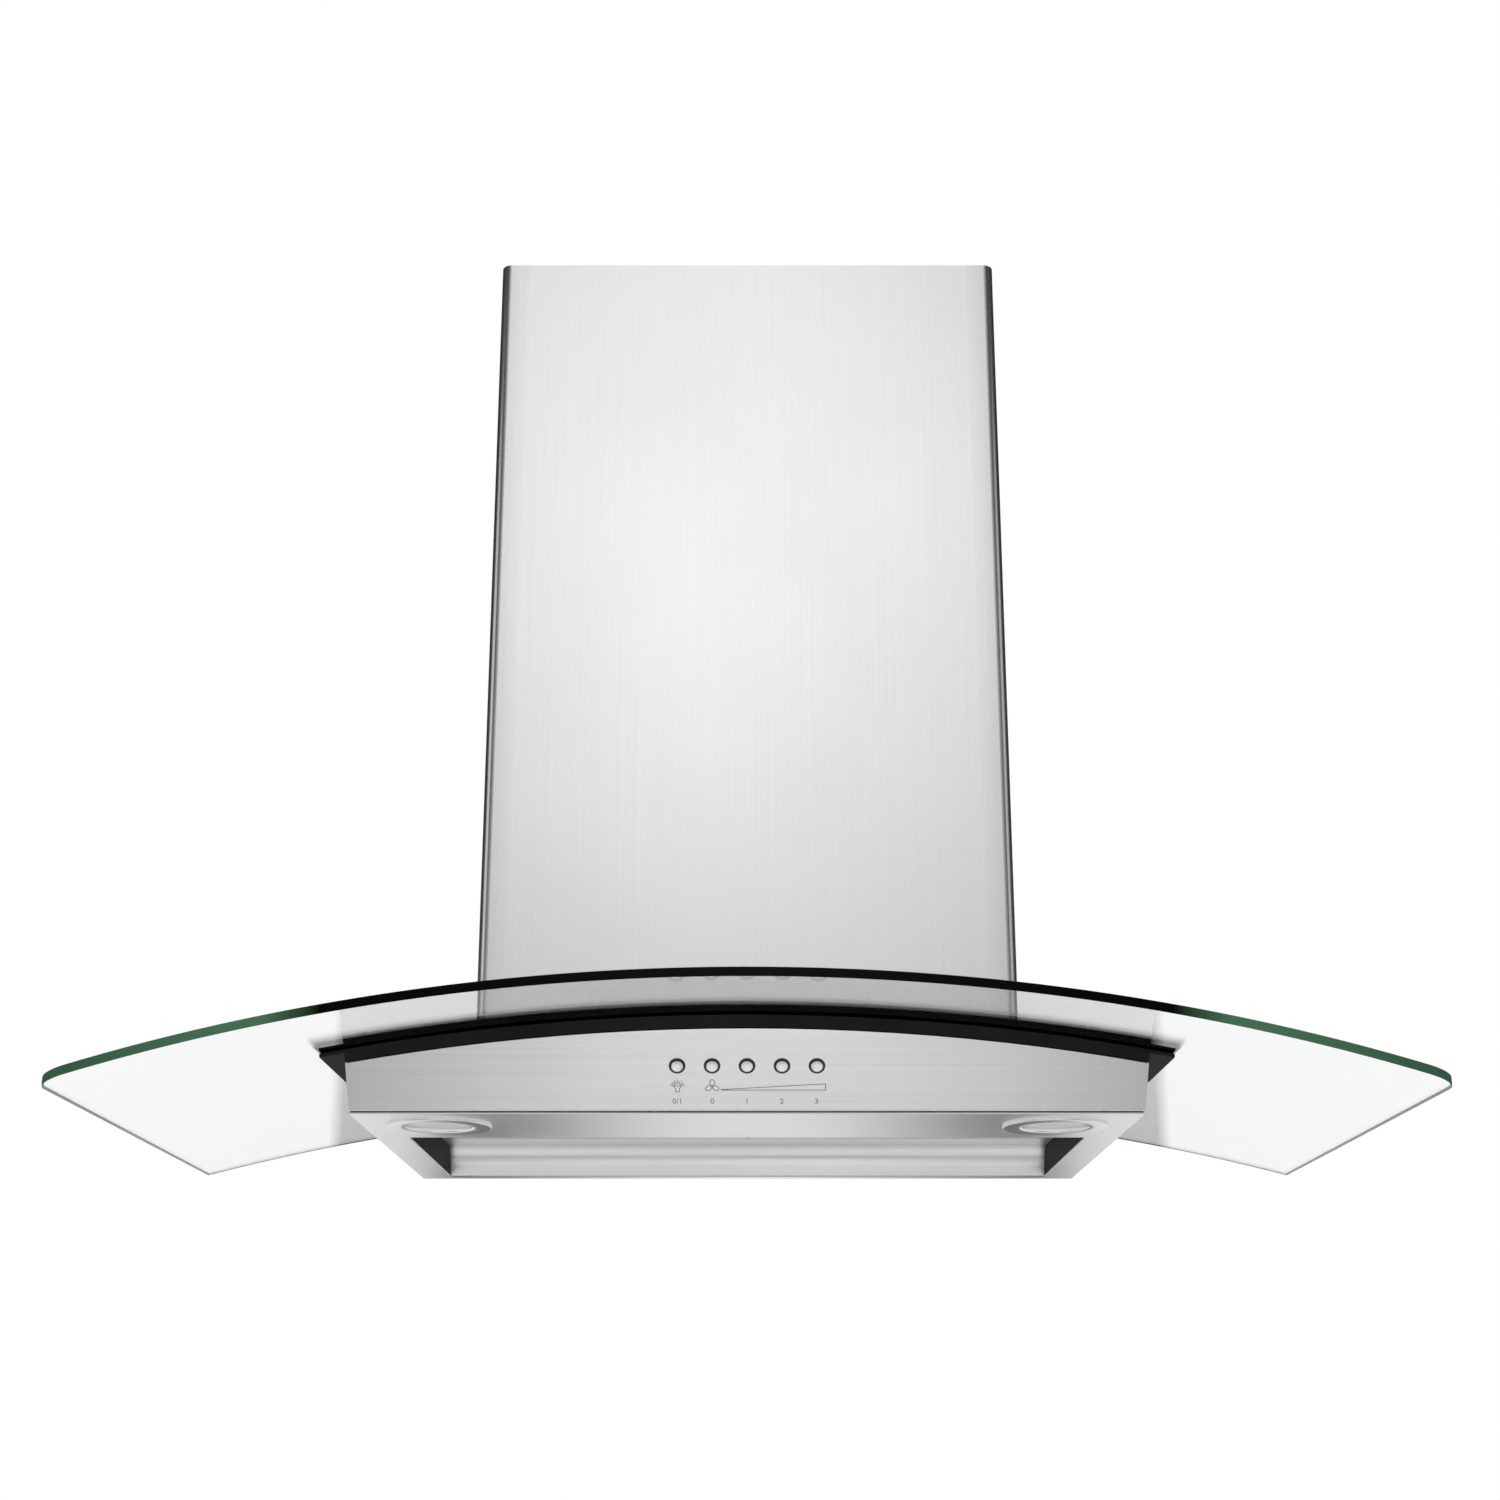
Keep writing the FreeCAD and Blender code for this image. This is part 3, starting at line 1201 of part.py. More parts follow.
def cover_loop(inset, back):
    """Sheet of a chimney cover in plan: front, round edges, sides and turned-in rear edges."""
    half, front = f"({HALF_CHIMNEY} - {inset})", f"(chimney_depth - {inset})"
    bend = f"(chimney_bend - {inset})"
    inner_bend = f"(chimney_bend - {inset} - chimney_gauge)"
    skin = "chimney_gauge"
    lip = f"({half} - chimney_return)"
    right = [
        (f"{lip}", f"-{back}"),
        (half, f"-{back}"),
        (half, f"-({front} - {bend})", bend, -1),
        (f"{half} - {bend}", f"-{front}"),
    ]
    left = [
        (f"-({half} - {bend})", f"-{front}", bend, -1),
        (f"-{half}", f"-({front} - {bend})"),
        (f"-{half}", f"-{back}"),
        (f"-{lip}", f"-{back}"),
        (f"-{lip}", f"-({back} + {skin})"),
        (f"-({half} - {skin})", f"-({back} + {skin})"),
        (f"-({half} - {skin})", f"-({front} - {bend})", inner_bend, 1),
        (f"-({half} - {bend})", f"-({front} - {skin})"),
    ]
    inside = [
        (f"{half} - {bend}", f"-({front} - {skin})", inner_bend, 1),
        (f"{half} - {skin}", f"-({front} - {bend})"),
        (f"{half} - {skin}", f"-({back} + {skin})"),
        (f"{lip}", f"-({back} + {skin})"),
    ]
    return right + left + inside


def chimney_lower():
    """Visible cover, standing on the glass, its foot cut to the glass's curve."""
    body = new_body("chimney_lower")
    rest = f"({GLASS_TOP} + chimney_gap)"
    foot = f"({arch(HALF_CHIMNEY, rest)} - chimney_gauge)"
    pad(body, "XY", [cover_loop("0", "0")], f"chimney_top - {foot}", offset=foot)
    wide = f"({HALF_CHIMNEY} + {BEYOND})"
    below = [
        (f"-{wide}", "0"),
        (wide, "0"),
        (wide, arch(wide, rest), rest, 1),
        (f"-{wide}", arch(wide, rest)),
    ]
    cut(body, "XZ", [below])
    return body


UPPER_TOP = "(chimney_top - upper_top_gap)"
UPPER_LOW = "(casing_top + upper_foot_gap)"
UPPER_INSET = "(chimney_gauge + cover_gap)"


def chimney_upper():
    """Cover that slides up out of the lower one, with air slots in its sides."""
    body = new_body("chimney_upper")
    outline = cover_loop(UPPER_INSET, UPPER_INSET)
    pad(body, "XY", [outline], f"{UPPER_TOP} - {UPPER_LOW}", offset=UPPER_LOW)
    middle = "chimney_depth / 2"
    top = f"{UPPER_TOP} - 2 * slot_pitch"
    slot = box_loop(f"-({middle} + slot_width / 2)", f"-({middle} - slot_width / 2)",
                    f"{top} - slot_height", top)
    first = cut(body, "YZ", [slot])
    pattern = body.newObject("PartDesign::LinearPattern", "slots")
    pattern.Originals = [first]
    axis = [axis for axis in body.Origin.OriginFeatures if axis.Role == "Z_Axis"][0]
    pattern.Direction = (axis, [""])
    pattern.Reversed = True
    pattern.setExpression("Length", formula("slot_pitch * (slot_count - 1)"))
    pattern.setExpression("Occurrences", formula("slot_count"))
    body.Tip = pattern
    return body


def cover_bracket(label, inset, back, low, height):
    """U-shaped wall bracket between the sides of a cover."""
    body = new_body(label)
    half = f"({HALF_CHIMNEY} - chimney_gauge - {inset} - bracket_gap)"
    front, skin = f"({back} + bracket_depth)", "bracket_gauge"
    loop = [
        (f"-{half}", f"-{back}"),
        (f"-{half}", f"-{front}"),
        (f"-({half} - {skin})", f"-{front}"),
        (f"-({half} - {skin})", f"-({back} + {skin})"),
        (f"{half} - {skin}", f"-({back} + {skin})"),
        (f"{half} - {skin}", f"-{front}"),
        (half, f"-{front}"),
        (half, f"-{back}"),
    ]
    pad(body, "XY", [loop], height, offset=low)
    return body


def lower_cover_bracket():
    """Bracket on the spine of the back panel, behind the lower cover."""
    low = "(casing_top - bracket_height)"
    return cover_bracket("lower_cover_bracket", "0", "back_gauge", low, "bracket_height")


def ceiling_bracket():
    """Bracket at the top of the upper cover, with its own two wall holes."""
    low = f"({UPPER_TOP} - ceiling_bracket_drop - ceiling_bracket_height)"
    back = f"({UPPER_INSET} + chimney_gauge + bracket_gap)"
    body = cover_bracket("ceiling_bracket", UPPER_INSET, back, low, "ceiling_bracket_height")
    middle = f"{low} + ceiling_bracket_height / 2"
    cut(body, "XZ", [("circle", f"{side} * ceiling_hole_span / 2", middle, "ceiling_hole_radius")
                     for side in (-1, 1)])
    return body


# ---- electrical parts --------------------------------------------------------------------------

BOX_FAR = "(casing_width / 2 + box_reach)"
GLAND_X = "(casing_width / 2 + box_reach / 2)"
GLAND_Y = "(box_back + box_depth / 2)"


def junction_box():
    """Steel box on the casing's right side, open to the right, with the gland's hole on top."""
    body = new_body("junction_box")
    low, high = "-(box_back + box_depth)", "-box_back"
    outer = box_loop(low, high, "box_low", "box_low + box_height")
    inner = box_loop(f"{low} + box_wall", f"{high} - box_wall",
                     "box_low + box_wall", "box_low + box_height - box_wall")
    pad(body, "YZ", [outer], "box_reach", offset="casing_width / 2")
    cut(body, "YZ", [inner], "box_reach - box_wall", "up", "casing_width / 2 + box_wall")
    cut(body, "XY", [("circle", GLAND_X, f"-{GLAND_Y}", "gland_radius")],
        "2 * box_wall", "down", "box_low + box_height")
    return body


def junction_cover():
    """Flat lid of the junction box."""
    body = new_body("junction_cover")
    face = box_loop("-(box_back + box_depth)", "-box_back", "box_low", "box_low + box_height")
    pad(body, "YZ", [face], "box_wall", offset=BOX_FAR)
    return body


def cable_gland():
    """Gland for the supply cable, screwed into the top of the junction box."""
    body = new_body("cable_gland")
    top = "(box_low + box_height)"
    thread, flange = "(gland_radius - layer_gap)", "(gland_radius + gland_flange)"
    cap = "(gland_radius + gland_cap)"
    loop = [
        ("gland_bore", f"{top} - gland_thread"),
        (thread, f"{top} - gland_thread"),
        (thread, top),
        (flange, top),
        (flange, f"{top} + gland_flange_height"),
        (cap, f"{top} + gland_flange_height"),
        (cap, f"{top} + gland_cap_height - gland_chamfer"),
        (f"{cap} - gland_chamfer", f"{top} + gland_cap_height"),
        ("gland_bore", f"{top} + gland_cap_height"),
    ]
    revolve(body, [loop])
    body.setExpression("Placement.Base.x", formula(GLAND_X))
    body.setExpression("Placement.Base.y", formula(f"-{GLAND_Y}"))
    return body


CAPACITOR_X = "(-(casing_width / 2 + gauge + 2 * capacitor_gap + capacitor_radius))"


def motor_capacitor():
    """Motor capacitor: a can with a stepped top, on the casing's left side."""
    body = new_body("motor_capacitor")
    top = "(capacitor_low + capacitor_height)"
    loop = [
        ("0", "capacitor_low"),
        ("capacitor_radius", "capacitor_low"),
        ("capacitor_radius", f"{top} - capacitor_step"),
        ("capacitor_radius - capacitor_step", top),
        ("0", top),
    ]
    revolve(body, [loop])
    body.setExpression("Placement.Base.x", formula(CAPACITOR_X))
    body.setExpression("Placement.Base.y", formula("-capacitor_depth"))
    return body


def capacitor_clip():
    """Band round the capacitor on a foot plate that lies on the casing."""
    body = new_body("capacitor_clip")
    centre = (CAPACITOR_X, "-capacitor_depth")
    inner, skin = "(capacitor_radius + capacitor_gap)", "gauge"
    wall = "(-casing_width / 2)"
    low = "capacitor_low + capacitor_height / 2 - clip_band / 2"
    foot = f"({inner} + clip_reach)"
    base = box_loop(f"{wall} - {skin}", wall, f"-capacitor_depth - {foot}", f"-capacitor_depth + {foot}")
    pad(body, "XY", [base], "clip_band", offset=low)
    ring = [("circle", *centre, f"{inner} + {skin}"), ("circle", *centre, inner)]
    pad(body, "XY", ring, "clip_band", offset=low)
    return body


def lamp_driver():
    """Lamp supply in its case, on the bottom pan between the lamps."""
    body = new_body("lamp_driver")
    back = "(bottom_depth - driver_setback)"
    face = box_loop("-driver_width / 2", "driver_width / 2", f"-({back} + driver_depth)", f"-{back}")
    pad(body, "XY", [face], "driver_height", offset="gauge")
    return body


def sheet_screws():
    """Pan-head screws: six at the casing's foot and four in the duct collar's flange."""
    head, tall = value("screw_head_radius"), value("screw_head_height")
    shank, length = value("screw_radius"), value("screw_length")
    screw = Part.makeCylinder(head, tall).fuse(Part.makeCylinder(shank, length, Vector(0, 0, -length)))
    slot = Part.makeBox(2 * head, tall / 3, tall / 2, Vector(-head, -tall / 6, tall / 2))
    screw = screw.cut(slot)
    levels = [(place, f"{DECK_TOP} + gauge") for place in foot_screw_places()]
    levels += [(place, "casing_top + gauge") for place in duct_screw_places()]
    solids = []
    for (across, along), level in levels:
        copy = screw.copy()
        copy.translate(Vector(value(across), value(along), value(level)))
        solids.append(copy)
    return group("sheet_screws", solids)


# ---- the whole hood ----------------------------------------------------------------------------

SIDES = (("left", -1), ("right", 1))
BUTTONS = ("light", "off", "low", "medium", "high")

glass_canopy()
glass_gasket()
glass_seat_frame()
glass_clamp_screws()
front_panel()
bottom_pan()
back_panel()
intake_liner()
blower_deck()
for name, side in SIDES:
    glass_clamp(f"glass_clamp_{name}", side)
    body_side(f"body_side_{name}", side)
    filter_frame(f"filter_frame_{name}", side)
    filter_mesh(f"filter_mesh_{name}", side)
    filter_clip(f"filter_clip_{name}", side)
    lamp_ring(f"lamp_ring_{name}", side)
    lamp_lens(f"lamp_lens_{name}", side)
    lamp_module(f"lamp_module_{name}", side)
    inlet_ring(f"inlet_ring_{name}", side)
for place, name in enumerate(BUTTONS, -2):
    button(f"button_{name}", place)
    button_spring(f"button_spring_{name}", place)
button_guide()
switch_board()
tact_switches()
blower_casing()
blower_scroll()
blower_motor()
motor_bracket()
impeller()
motor_shaft()
duct_collar()
damper_flap("damper_flap_front", 1)
damper_flap("damper_flap_rear", -1)
chimney_lower()
chimney_upper()
lower_cover_bracket()
ceiling_bracket()
junction_box()
junction_cover()
cable_gland()
motor_capacitor()
capacitor_clip()
lamp_driver()
sheet_screws()

doc.recompute()
faults = [item.Label for item in doc.Objects if {"Invalid", "Error"} & set(item.State)]
faults += [item.Label for item in parts if item.Shape.isNull() or not item.Shape.isValid()]
if faults:
    raise RuntimeError("failed: " + ", ".join(faults))

os.makedirs("parts", exist_ok=True)
for item in parts:
    item.Shape.exportStep(f"parts/{item.Label}.step")
    print(item.Label, len(item.Shape.Solids), round(item.Shape.Volume))
print(len(parts), "parts")
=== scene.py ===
import math

import bmesh
import bpy
from mathutils import Matrix, Vector


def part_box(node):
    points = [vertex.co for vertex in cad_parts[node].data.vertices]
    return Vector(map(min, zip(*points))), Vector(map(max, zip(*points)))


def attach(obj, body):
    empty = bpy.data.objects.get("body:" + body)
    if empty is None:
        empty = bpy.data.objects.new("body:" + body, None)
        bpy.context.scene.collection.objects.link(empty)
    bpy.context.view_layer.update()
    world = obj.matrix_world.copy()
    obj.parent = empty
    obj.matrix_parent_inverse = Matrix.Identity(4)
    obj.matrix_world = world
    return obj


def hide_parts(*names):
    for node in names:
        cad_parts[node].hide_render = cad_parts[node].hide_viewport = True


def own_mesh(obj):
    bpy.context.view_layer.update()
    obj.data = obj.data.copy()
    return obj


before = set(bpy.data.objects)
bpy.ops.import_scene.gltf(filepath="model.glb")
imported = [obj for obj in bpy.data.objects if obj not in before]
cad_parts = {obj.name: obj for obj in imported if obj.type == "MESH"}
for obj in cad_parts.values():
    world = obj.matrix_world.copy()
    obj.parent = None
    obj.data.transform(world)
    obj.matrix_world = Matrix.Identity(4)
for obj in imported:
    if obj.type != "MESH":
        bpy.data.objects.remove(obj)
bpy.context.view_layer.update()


# ---- Camera ------------------------------------------------------------------------------------
# The hood hangs over a cooktop, and the camera looks up at it from in front, from just below the
# level of the hood's underside, so that the lamps and the intake show under the front edge.

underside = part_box("bottom_pan")[0].z
camera_data = bpy.data.cameras.new("view_camera")
camera_data.lens = 50.9
camera_data.shift_y = 0.07
camera = bpy.data.objects.new("view_camera", camera_data)
camera.location = (0.002, -1.775, underside - 0.225)
camera.rotation_euler = (math.radians(90 + 15.9), 0, 0)
bpy.context.scene.collection.objects.link(camera)
bpy.context.scene.camera = camera


# ---- Floor and light ---------------------------------------------------------------------------
# A pale studio: a wide floor at the level of a cooktop, one large soft lamp high in front and one
# on each side, and a white surround. Reflections in it are painted: glossy rays alone see a dark stand
# beside and behind the hood, which the bent edges of the steel show as thin black lines, dark patches
# on the floor, and a glow in place of the front lamp.

def wire(tree, output, *inputs):
    """Join one output to several inputs."""
    for entry in inputs:
        tree.links.new(output, entry)


def feed(tree, entry, value):
    """Set an input to a plain value, or join another node's output to it."""
    if isinstance(value, bpy.types.NodeSocket):
        wire(tree, value, entry)
    else:
        entry.default_value = value


def math_node(tree, operation, *values):
    """A math node's output. Each value is a number or another node's output."""
    node = tree.nodes.new("ShaderNodeMath")
    node.operation = operation
    for entry, value in zip(node.inputs, values):
        feed(tree, entry, value)
    return node.outputs[0]


def mix_colours(tree, mask, first, second):
    """A colour that goes from first to second with a mask. Each is a colour or an output."""
    node = tree.nodes.new("ShaderNodeMix")
    node.data_type = "RGBA"
    for entry, colour in ((node.inputs[6], first), (node.inputs[7], second)):
        feed(tree, entry, (*colour, 1) if isinstance(colour, tuple) else colour)
    wire(tree, mask, node.inputs[0])
    return node.outputs[2]


def mapped(tree, value, low, high, start=0.0, stop=1.0):
    """A value between start and stop brought to between low and high."""
    node = tree.nodes.new("ShaderNodeMapRange")
    for label, number in (("From Min", start), ("From Max", stop), ("To Min", low), ("To Max", high)):
        node.inputs[label].default_value = number
    wire(tree, value, node.inputs["Value"])
    return node.outputs["Result"]


def axes_of(tree, vector):
    """X, Y and Z of a vector, by name."""
    node = tree.nodes.new("ShaderNodeSeparateXYZ")
    wire(tree, vector, node.inputs[0])
    return node.outputs


def band(tree, value, start, full, fade, stop):
    """A mask that rises from start to full, and falls from fade to stop."""
    rise = mapped(tree, value, 0, 1, start, full)
    return math_node(tree, "MULTIPLY", rise, mapped(tree, value, 1, 0, fade, stop))


COOKTOP_DROP = 0.70
FLOOR_REACH = 24.0
# The second grey and the places below are painted reflection: dark patches on the floor that only glossy
# rays see, in front, far behind and under the hood.
FLOOR_GREY, PAINTED_REFLECTION_GREY = (0.95, 0.95, 0.95), (0.13, 0.13, 0.13)
FRONT_PAINTED_DEPTH, FRONT_PAINTED_WIDTH = (-1.4, -1.1, -0.5, -0.1), (0.14, 0.72, 1.0, 1.3)
FAR_PAINTED_DEPTH, FAR_PAINTED_SPREAD = (0.8, 1.6), (0.03, 0.12, 0.147, 0.152)
LOW_PAINTED_DEPTH, LOW_PAINTED_WIDTH = (-0.58, -0.48, -0.42, -0.32), (0.34, 0.42)
floor_mesh = bpy.data.meshes.new("floor")
floor_corners = [
    (side * FLOOR_REACH, end * FLOOR_REACH, underside - COOKTOP_DROP)
    for side, end in ((-1, -1), (1, -1), (1, 1), (-1, 1))
]
floor_mesh.from_pydata(floor_corners, [], [(0, 1, 2, 3)])
floor = bpy.data.objects.new("floor", floor_mesh)
bpy.context.scene.collection.objects.link(floor)

pale_floor = bpy.data.materials.new("pale_floor")
pale_floor.use_nodes = True
tree = pale_floor.node_tree
matt = tree.nodes["Principled BSDF"]
matt.inputs["Roughness"].default_value = 0.9
matt.inputs["Specular IOR Level"].default_value = 0.0
place = tree.nodes.new("ShaderNodeTexCoord")
axes = axes_of(tree, place.outputs["Object"])
sideways = math_node(tree, "ABSOLUTE", axes["X"])
depth = axes["Y"]
# Painted reflection: glossy rays alone see the floor dark at the sides, a little in front and far
# behind, and right under the hood.
in_front = math_node(
    tree, "MULTIPLY", band(tree, depth, *FRONT_PAINTED_DEPTH), band(tree, sideways, *FRONT_PAINTED_WIDTH))
spread = math_node(tree, "DIVIDE", sideways, math_node(tree, "SUBTRACT", depth, camera.location.y))
far_behind = math_node(
    tree, "MULTIPLY", mapped(tree, depth, 0, 1, *FAR_PAINTED_DEPTH), band(tree, spread, *FAR_PAINTED_SPREAD))
below = math_node(
    tree, "MULTIPLY", band(tree, depth, *LOW_PAINTED_DEPTH), mapped(tree, sideways, 1, 0, *LOW_PAINTED_WIDTH))
painted_reflection_mask = math_node(tree, "MAXIMUM", math_node(tree, "MAXIMUM", in_front, far_behind), below)
ray = tree.nodes.new("ShaderNodeLightPath")
# Painted reflection: the dark patches reach glossy rays alone.
painted_reflection_seen = math_node(tree, "MULTIPLY", painted_reflection_mask, ray.outputs["Is Glossy Ray"])
wire(tree, mix_colours(tree, painted_reflection_seen, FLOOR_GREY, PAINTED_REFLECTION_GREY), matt.inputs["Base Color"])
see_through = tree.nodes.new("ShaderNodeBsdfTransparent")
facing = tree.nodes.new("ShaderNodeNewGeometry")
one_sided = tree.nodes.new("ShaderNodeMixShader")
wire(tree, facing.outputs["Backfacing"], one_sided.inputs[0])
wire(tree, matt.outputs[0], one_sided.inputs[1])
wire(tree, see_through.outputs[0], one_sided.inputs[2])
wire(tree, one_sided.outputs[0], tree.nodes["Material Output"].inputs["Surface"])
floor_mesh.materials.append(pale_floor)


def grey_ramp(tree, value, *stops):
    """A grey that follows a value through stops of value and grey. The first two are the ends."""
    node = tree.nodes.new("ShaderNodeValToRGB")
    ramp = node.color_ramp.elements
    for number, (position, grey) in enumerate(stops):
        stop = ramp[number] if number < 2 else ramp.new(position)
        stop.position = position
        stop.color = (grey, grey, grey, 1)
    wire(tree, value, node.inputs[0])
    return node.outputs[0]


# Painted reflection, seen only by glossy rays: grey by bearing from the front, as a share of half a
# turn, pale in front, and a dark stand at the sides that hangs above eye level.
PAINTED_STAND = (
    (0, 0.64), (1, 0.70), (0.05, 0.56), (0.11, 0.30), (0.19, 0.20), (0.24, 0.01), (0.86, 0.01), (0.95, 0.15),
)
PAINTED_STAND_FOOT, BELOW_PAINTED_STAND = (0.04, 0.17), (0.60, 0.60, 0.60)
# Painted highlight, seen only by glossy rays: a glow that falls off round its centre, standing in
# for the soft lamp in front as flat sheet would mirror it.
PAINTED_GLOW = ((0, 0.95), (1, 0.0), (0.09, 0.74), (0.18, 0.32), (0.29, 0.0))
PAINTED_GLOW_TOWARDS = (-0.015, -0.910, 0.414)
AMBIENT, BACKDROP = (0.88, 0.88, 0.88), (1.0, 1.0, 1.0)

world = bpy.data.worlds.new("studio")
bpy.context.scene.world = world
world.use_nodes = True
tree = world.node_tree
surround = tree.nodes["Background"]
direction = tree.nodes.new("ShaderNodeTexCoord")
axes = axes_of(tree, direction.outputs["Generated"])
sideways = math_node(tree, "ABSOLUTE", axes["X"])
forward = math_node(tree, "MULTIPLY", axes["Y"], -1)
bearing = math_node(tree, "DIVIDE", math_node(tree, "ARCTAN2", sideways, forward), math.pi)
above_eye = mapped(tree, axes["Z"], 0, 1, *PAINTED_STAND_FOOT)
painted_surround = mix_colours(tree, above_eye, BELOW_PAINTED_STAND, grey_ramp(tree, bearing, *PAINTED_STAND))
toward = tree.nodes.new("ShaderNodeVectorMath")
toward.operation = "DISTANCE"
toward.inputs[1].default_value = PAINTED_GLOW_TOWARDS
wire(tree, direction.outputs["Generated"], toward.inputs[0])
painted_glow = grey_ramp(tree, toward.outputs["Value"], *PAINTED_GLOW)
painted_reflection = math_node(tree, "ADD", painted_surround, painted_glow)
ray = tree.nodes.new("ShaderNodeLightPath")
# Glossy rays see the painted reflection and glow; all other rays get an even grey.
lit = mix_colours(tree, ray.outputs["Is Glossy Ray"], AMBIENT, painted_reflection)
backdrop = math_node(tree, "MAXIMUM", ray.outputs["Is Camera Ray"], ray.outputs["Is Transmission Ray"])
wire(tree, mix_colours(tree, backdrop, lit, BACKDROP), surround.inputs["Color"])

LAMPS_AIM = Vector((0, -0.2, 0.1))
for name, place, size, power in (
    ("front_lamp", (0.0, -1.5, 3.2), 1.8, 14),
    ("left_lamp", (-2.6, -1.2, 0.9), 1.4, 4),
    ("right_lamp", (2.6, -1.2, 0.9), 1.4, 3),
):
    lamp_data = bpy.data.lights.new(name, "AREA")
    lamp_data.size = size
    lamp_data.energy = power
    lamp = bpy.data.objects.new(name, lamp_data)
    lamp.location = place
    lamp.rotation_euler = (LAMPS_AIM - Vector(place)).to_track_quat("-Z", "Y").to_euler()
    lamp.visible_camera = False
    bpy.context.scene.collection.objects.link(lamp)

bpy.context.scene.view_settings.view_transform = "Standard"


# ---- Steel sheet -------------------------------------------------------------------------------
# The body's panel, sides and pan are 1 mm stainless sheet, brushed along the hood: fine parallel
# strokes from an abrasive belt, a few longer and darker ones, and the faint cloud of a wiped surface.

def effect_group(name, inputs, outputs):
    """An empty shader node group with named inputs and outputs."""
    group = bpy.data.node_groups.new(name, "ShaderNodeTree")
    for label, kind, value in inputs:
        entry = group.interface.new_socket(label, in_out="INPUT", socket_type=kind)
        entry.default_value = value
    for label in outputs:
        group.interface.new_socket(label, in_out="OUTPUT", socket_type="NodeSocketFloat")
    return group, group.nodes.new("NodeGroupInput"), group.nodes.new("NodeGroupOutput")


def noise(tree, vector, scale, detail, roughness=0.5):
    """Noise over a vector. The scale is a number or an output."""
    node = tree.nodes.new("ShaderNodeTexNoise")
    feed(tree, node.inputs["Scale"], scale)
    node.inputs["Detail"].default_value = detail
    node.inputs["Roughness"].default_value = roughness
    wire(tree, vector, node.inputs["Vector"])
    return node.outputs["Fac"]


def scaled_place(tree, scale):
    """Object coordinates times a vector, which is three numbers or an output."""
    place = tree.nodes.new("ShaderNodeTexCoord")
    node = tree.nodes.new("ShaderNodeVectorMath")
    node.operation = "MULTIPLY"
    wire(tree, place.outputs["Object"], node.inputs[0])
    feed(tree, node.inputs[1], scale)
    return node.outputs[0]


def grains(tree, scale, detail):
    """Noise over the piece itself. scale is how many grains fit in a metre, or an output."""
    return noise(tree, scaled_place(tree, (1, 1, 1)), scale, detail)


def use_group(tree, group, **inputs):
    """A node that runs an effect group, with its named inputs set."""
    node = tree.nodes.new("ShaderNodeGroup")
    node.node_tree = group
    for label, value in inputs.items():
        node.inputs[label].default_value = value
    return node


def new_material(name, metallic=0.0):
    """A material, its node tree and its Principled shader."""
    material = bpy.data.materials.new(name)
    material.use_nodes = True
    shader = material.node_tree.nodes["Principled BSDF"]
    shader.inputs["Metallic"].default_value = metallic
    return material, material.node_tree, shader


def relief(tree, shader, height, distance):
    """Surface relief of a real depth, in metres."""
    bump = tree.nodes.new("ShaderNodeBump")
    bump.inputs["Distance"].default_value = distance
    wire(tree, height, bump.inputs["Height"])
    wire(tree, bump.outputs[0], shader.inputs["Normal"])


brushed, group_in, group_out = effect_group(
    "brushed_strokes", [("Strokes", "NodeSocketVector", (6, 900, 900))], ["Stroke", "Cloud"],
)
stretched = scaled_place(brushed, group_in.outputs["Strokes"])
fine = noise(brushed, stretched, 1.0, 3, 0.6)
long = noise(brushed, stretched, 0.28, 2)
both = math_node(brushed, "ADD", fine, long)
wire(brushed, mapped(brushed, both, 0, 1, 0.6, 1.4), group_out.inputs["Stroke"])
cloud = grains(brushed, 5, 3)
wire(brushed, mapped(brushed, cloud, 0, 1, 0.3, 0.7), group_out.inputs["Cloud"])


def brushed_metal(name, strokes, light, dark, smooth, rough, depth=0.00002):
    """Metal with strokes. strokes is how many fit in a metre along X, Y and Z."""
    material, tree, shader = new_material(name, 1.0)
    effect = use_group(tree, brushed, Strokes=strokes)
    wire(tree, mix_colours(tree, effect.outputs["Stroke"], light, dark), shader.inputs["Base Color"])
    wire(tree, mapped(tree, effect.outputs["Cloud"], smooth, rough), shader.inputs["Roughness"])
    relief(tree, shader, effect.outputs["Stroke"], depth)
    return material


def dress(material, *nodes):
    """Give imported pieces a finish."""
    for name in nodes:
        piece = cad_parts[name]
        if not piece.material_slots:
            piece.data.materials.append(material)
        for entry in piece.material_slots:
            entry.material = material


ALONG_BODY = (7, 1400, 1400)
LIGHT_STEEL = (0.82, 0.82, 0.815)
DARK_STEEL = (0.74, 0.74, 0.74)
body_steel = brushed_metal("brushed_body_steel", ALONG_BODY, LIGHT_STEEL, DARK_STEEL, 0.24, 0.34)
dress(body_steel, "front_panel", "body_side_left", "body_side_right", "bottom_pan")


# ---- Zinc-coated sheet -------------------------------------------------------------------------
# Sheet that nobody sees in use, at the back and round the blower, has the frosted crystals of
# hot-dip zinc: flat cells a few millimetres wide, each of its own grey, with faint borders.

def colour_and_polish(tree, shader, mask, first, second, smooth, rough):
    """Base colour from first to second and roughness from smooth to rough, both with a mask."""
    wire(tree, mix_colours(tree, mask, first, second), shader.inputs["Base Color"])
    wire(tree, mapped(tree, mask, smooth, rough), shader.inputs["Roughness"])


spangle, group_in, group_out = effect_group(
    "zinc_spangle", [("Cells", "NodeSocketFloat", 160.0)], ["Tone", "Border"],
)
zinc_place = scaled_place(spangle, (1, 1, 1))
warp = noise(spangle, zinc_place, 60, 2)
cells = spangle.nodes.new("ShaderNodeTexVoronoi")
wire(spangle, zinc_place, cells.inputs["Vector"])
wire(spangle, group_in.outputs["Cells"], cells.inputs["Scale"])
tones = axes_of(spangle, cells.outputs["Color"])
wire(spangle, math_node(spangle, "MULTIPLY_ADD", warp, 0.35, tones["X"]), group_out.inputs["Tone"])
wire(spangle, mapped(spangle, cells.outputs["Distance"], 0, 1, 0.1, 0.75), group_out.inputs["Border"])

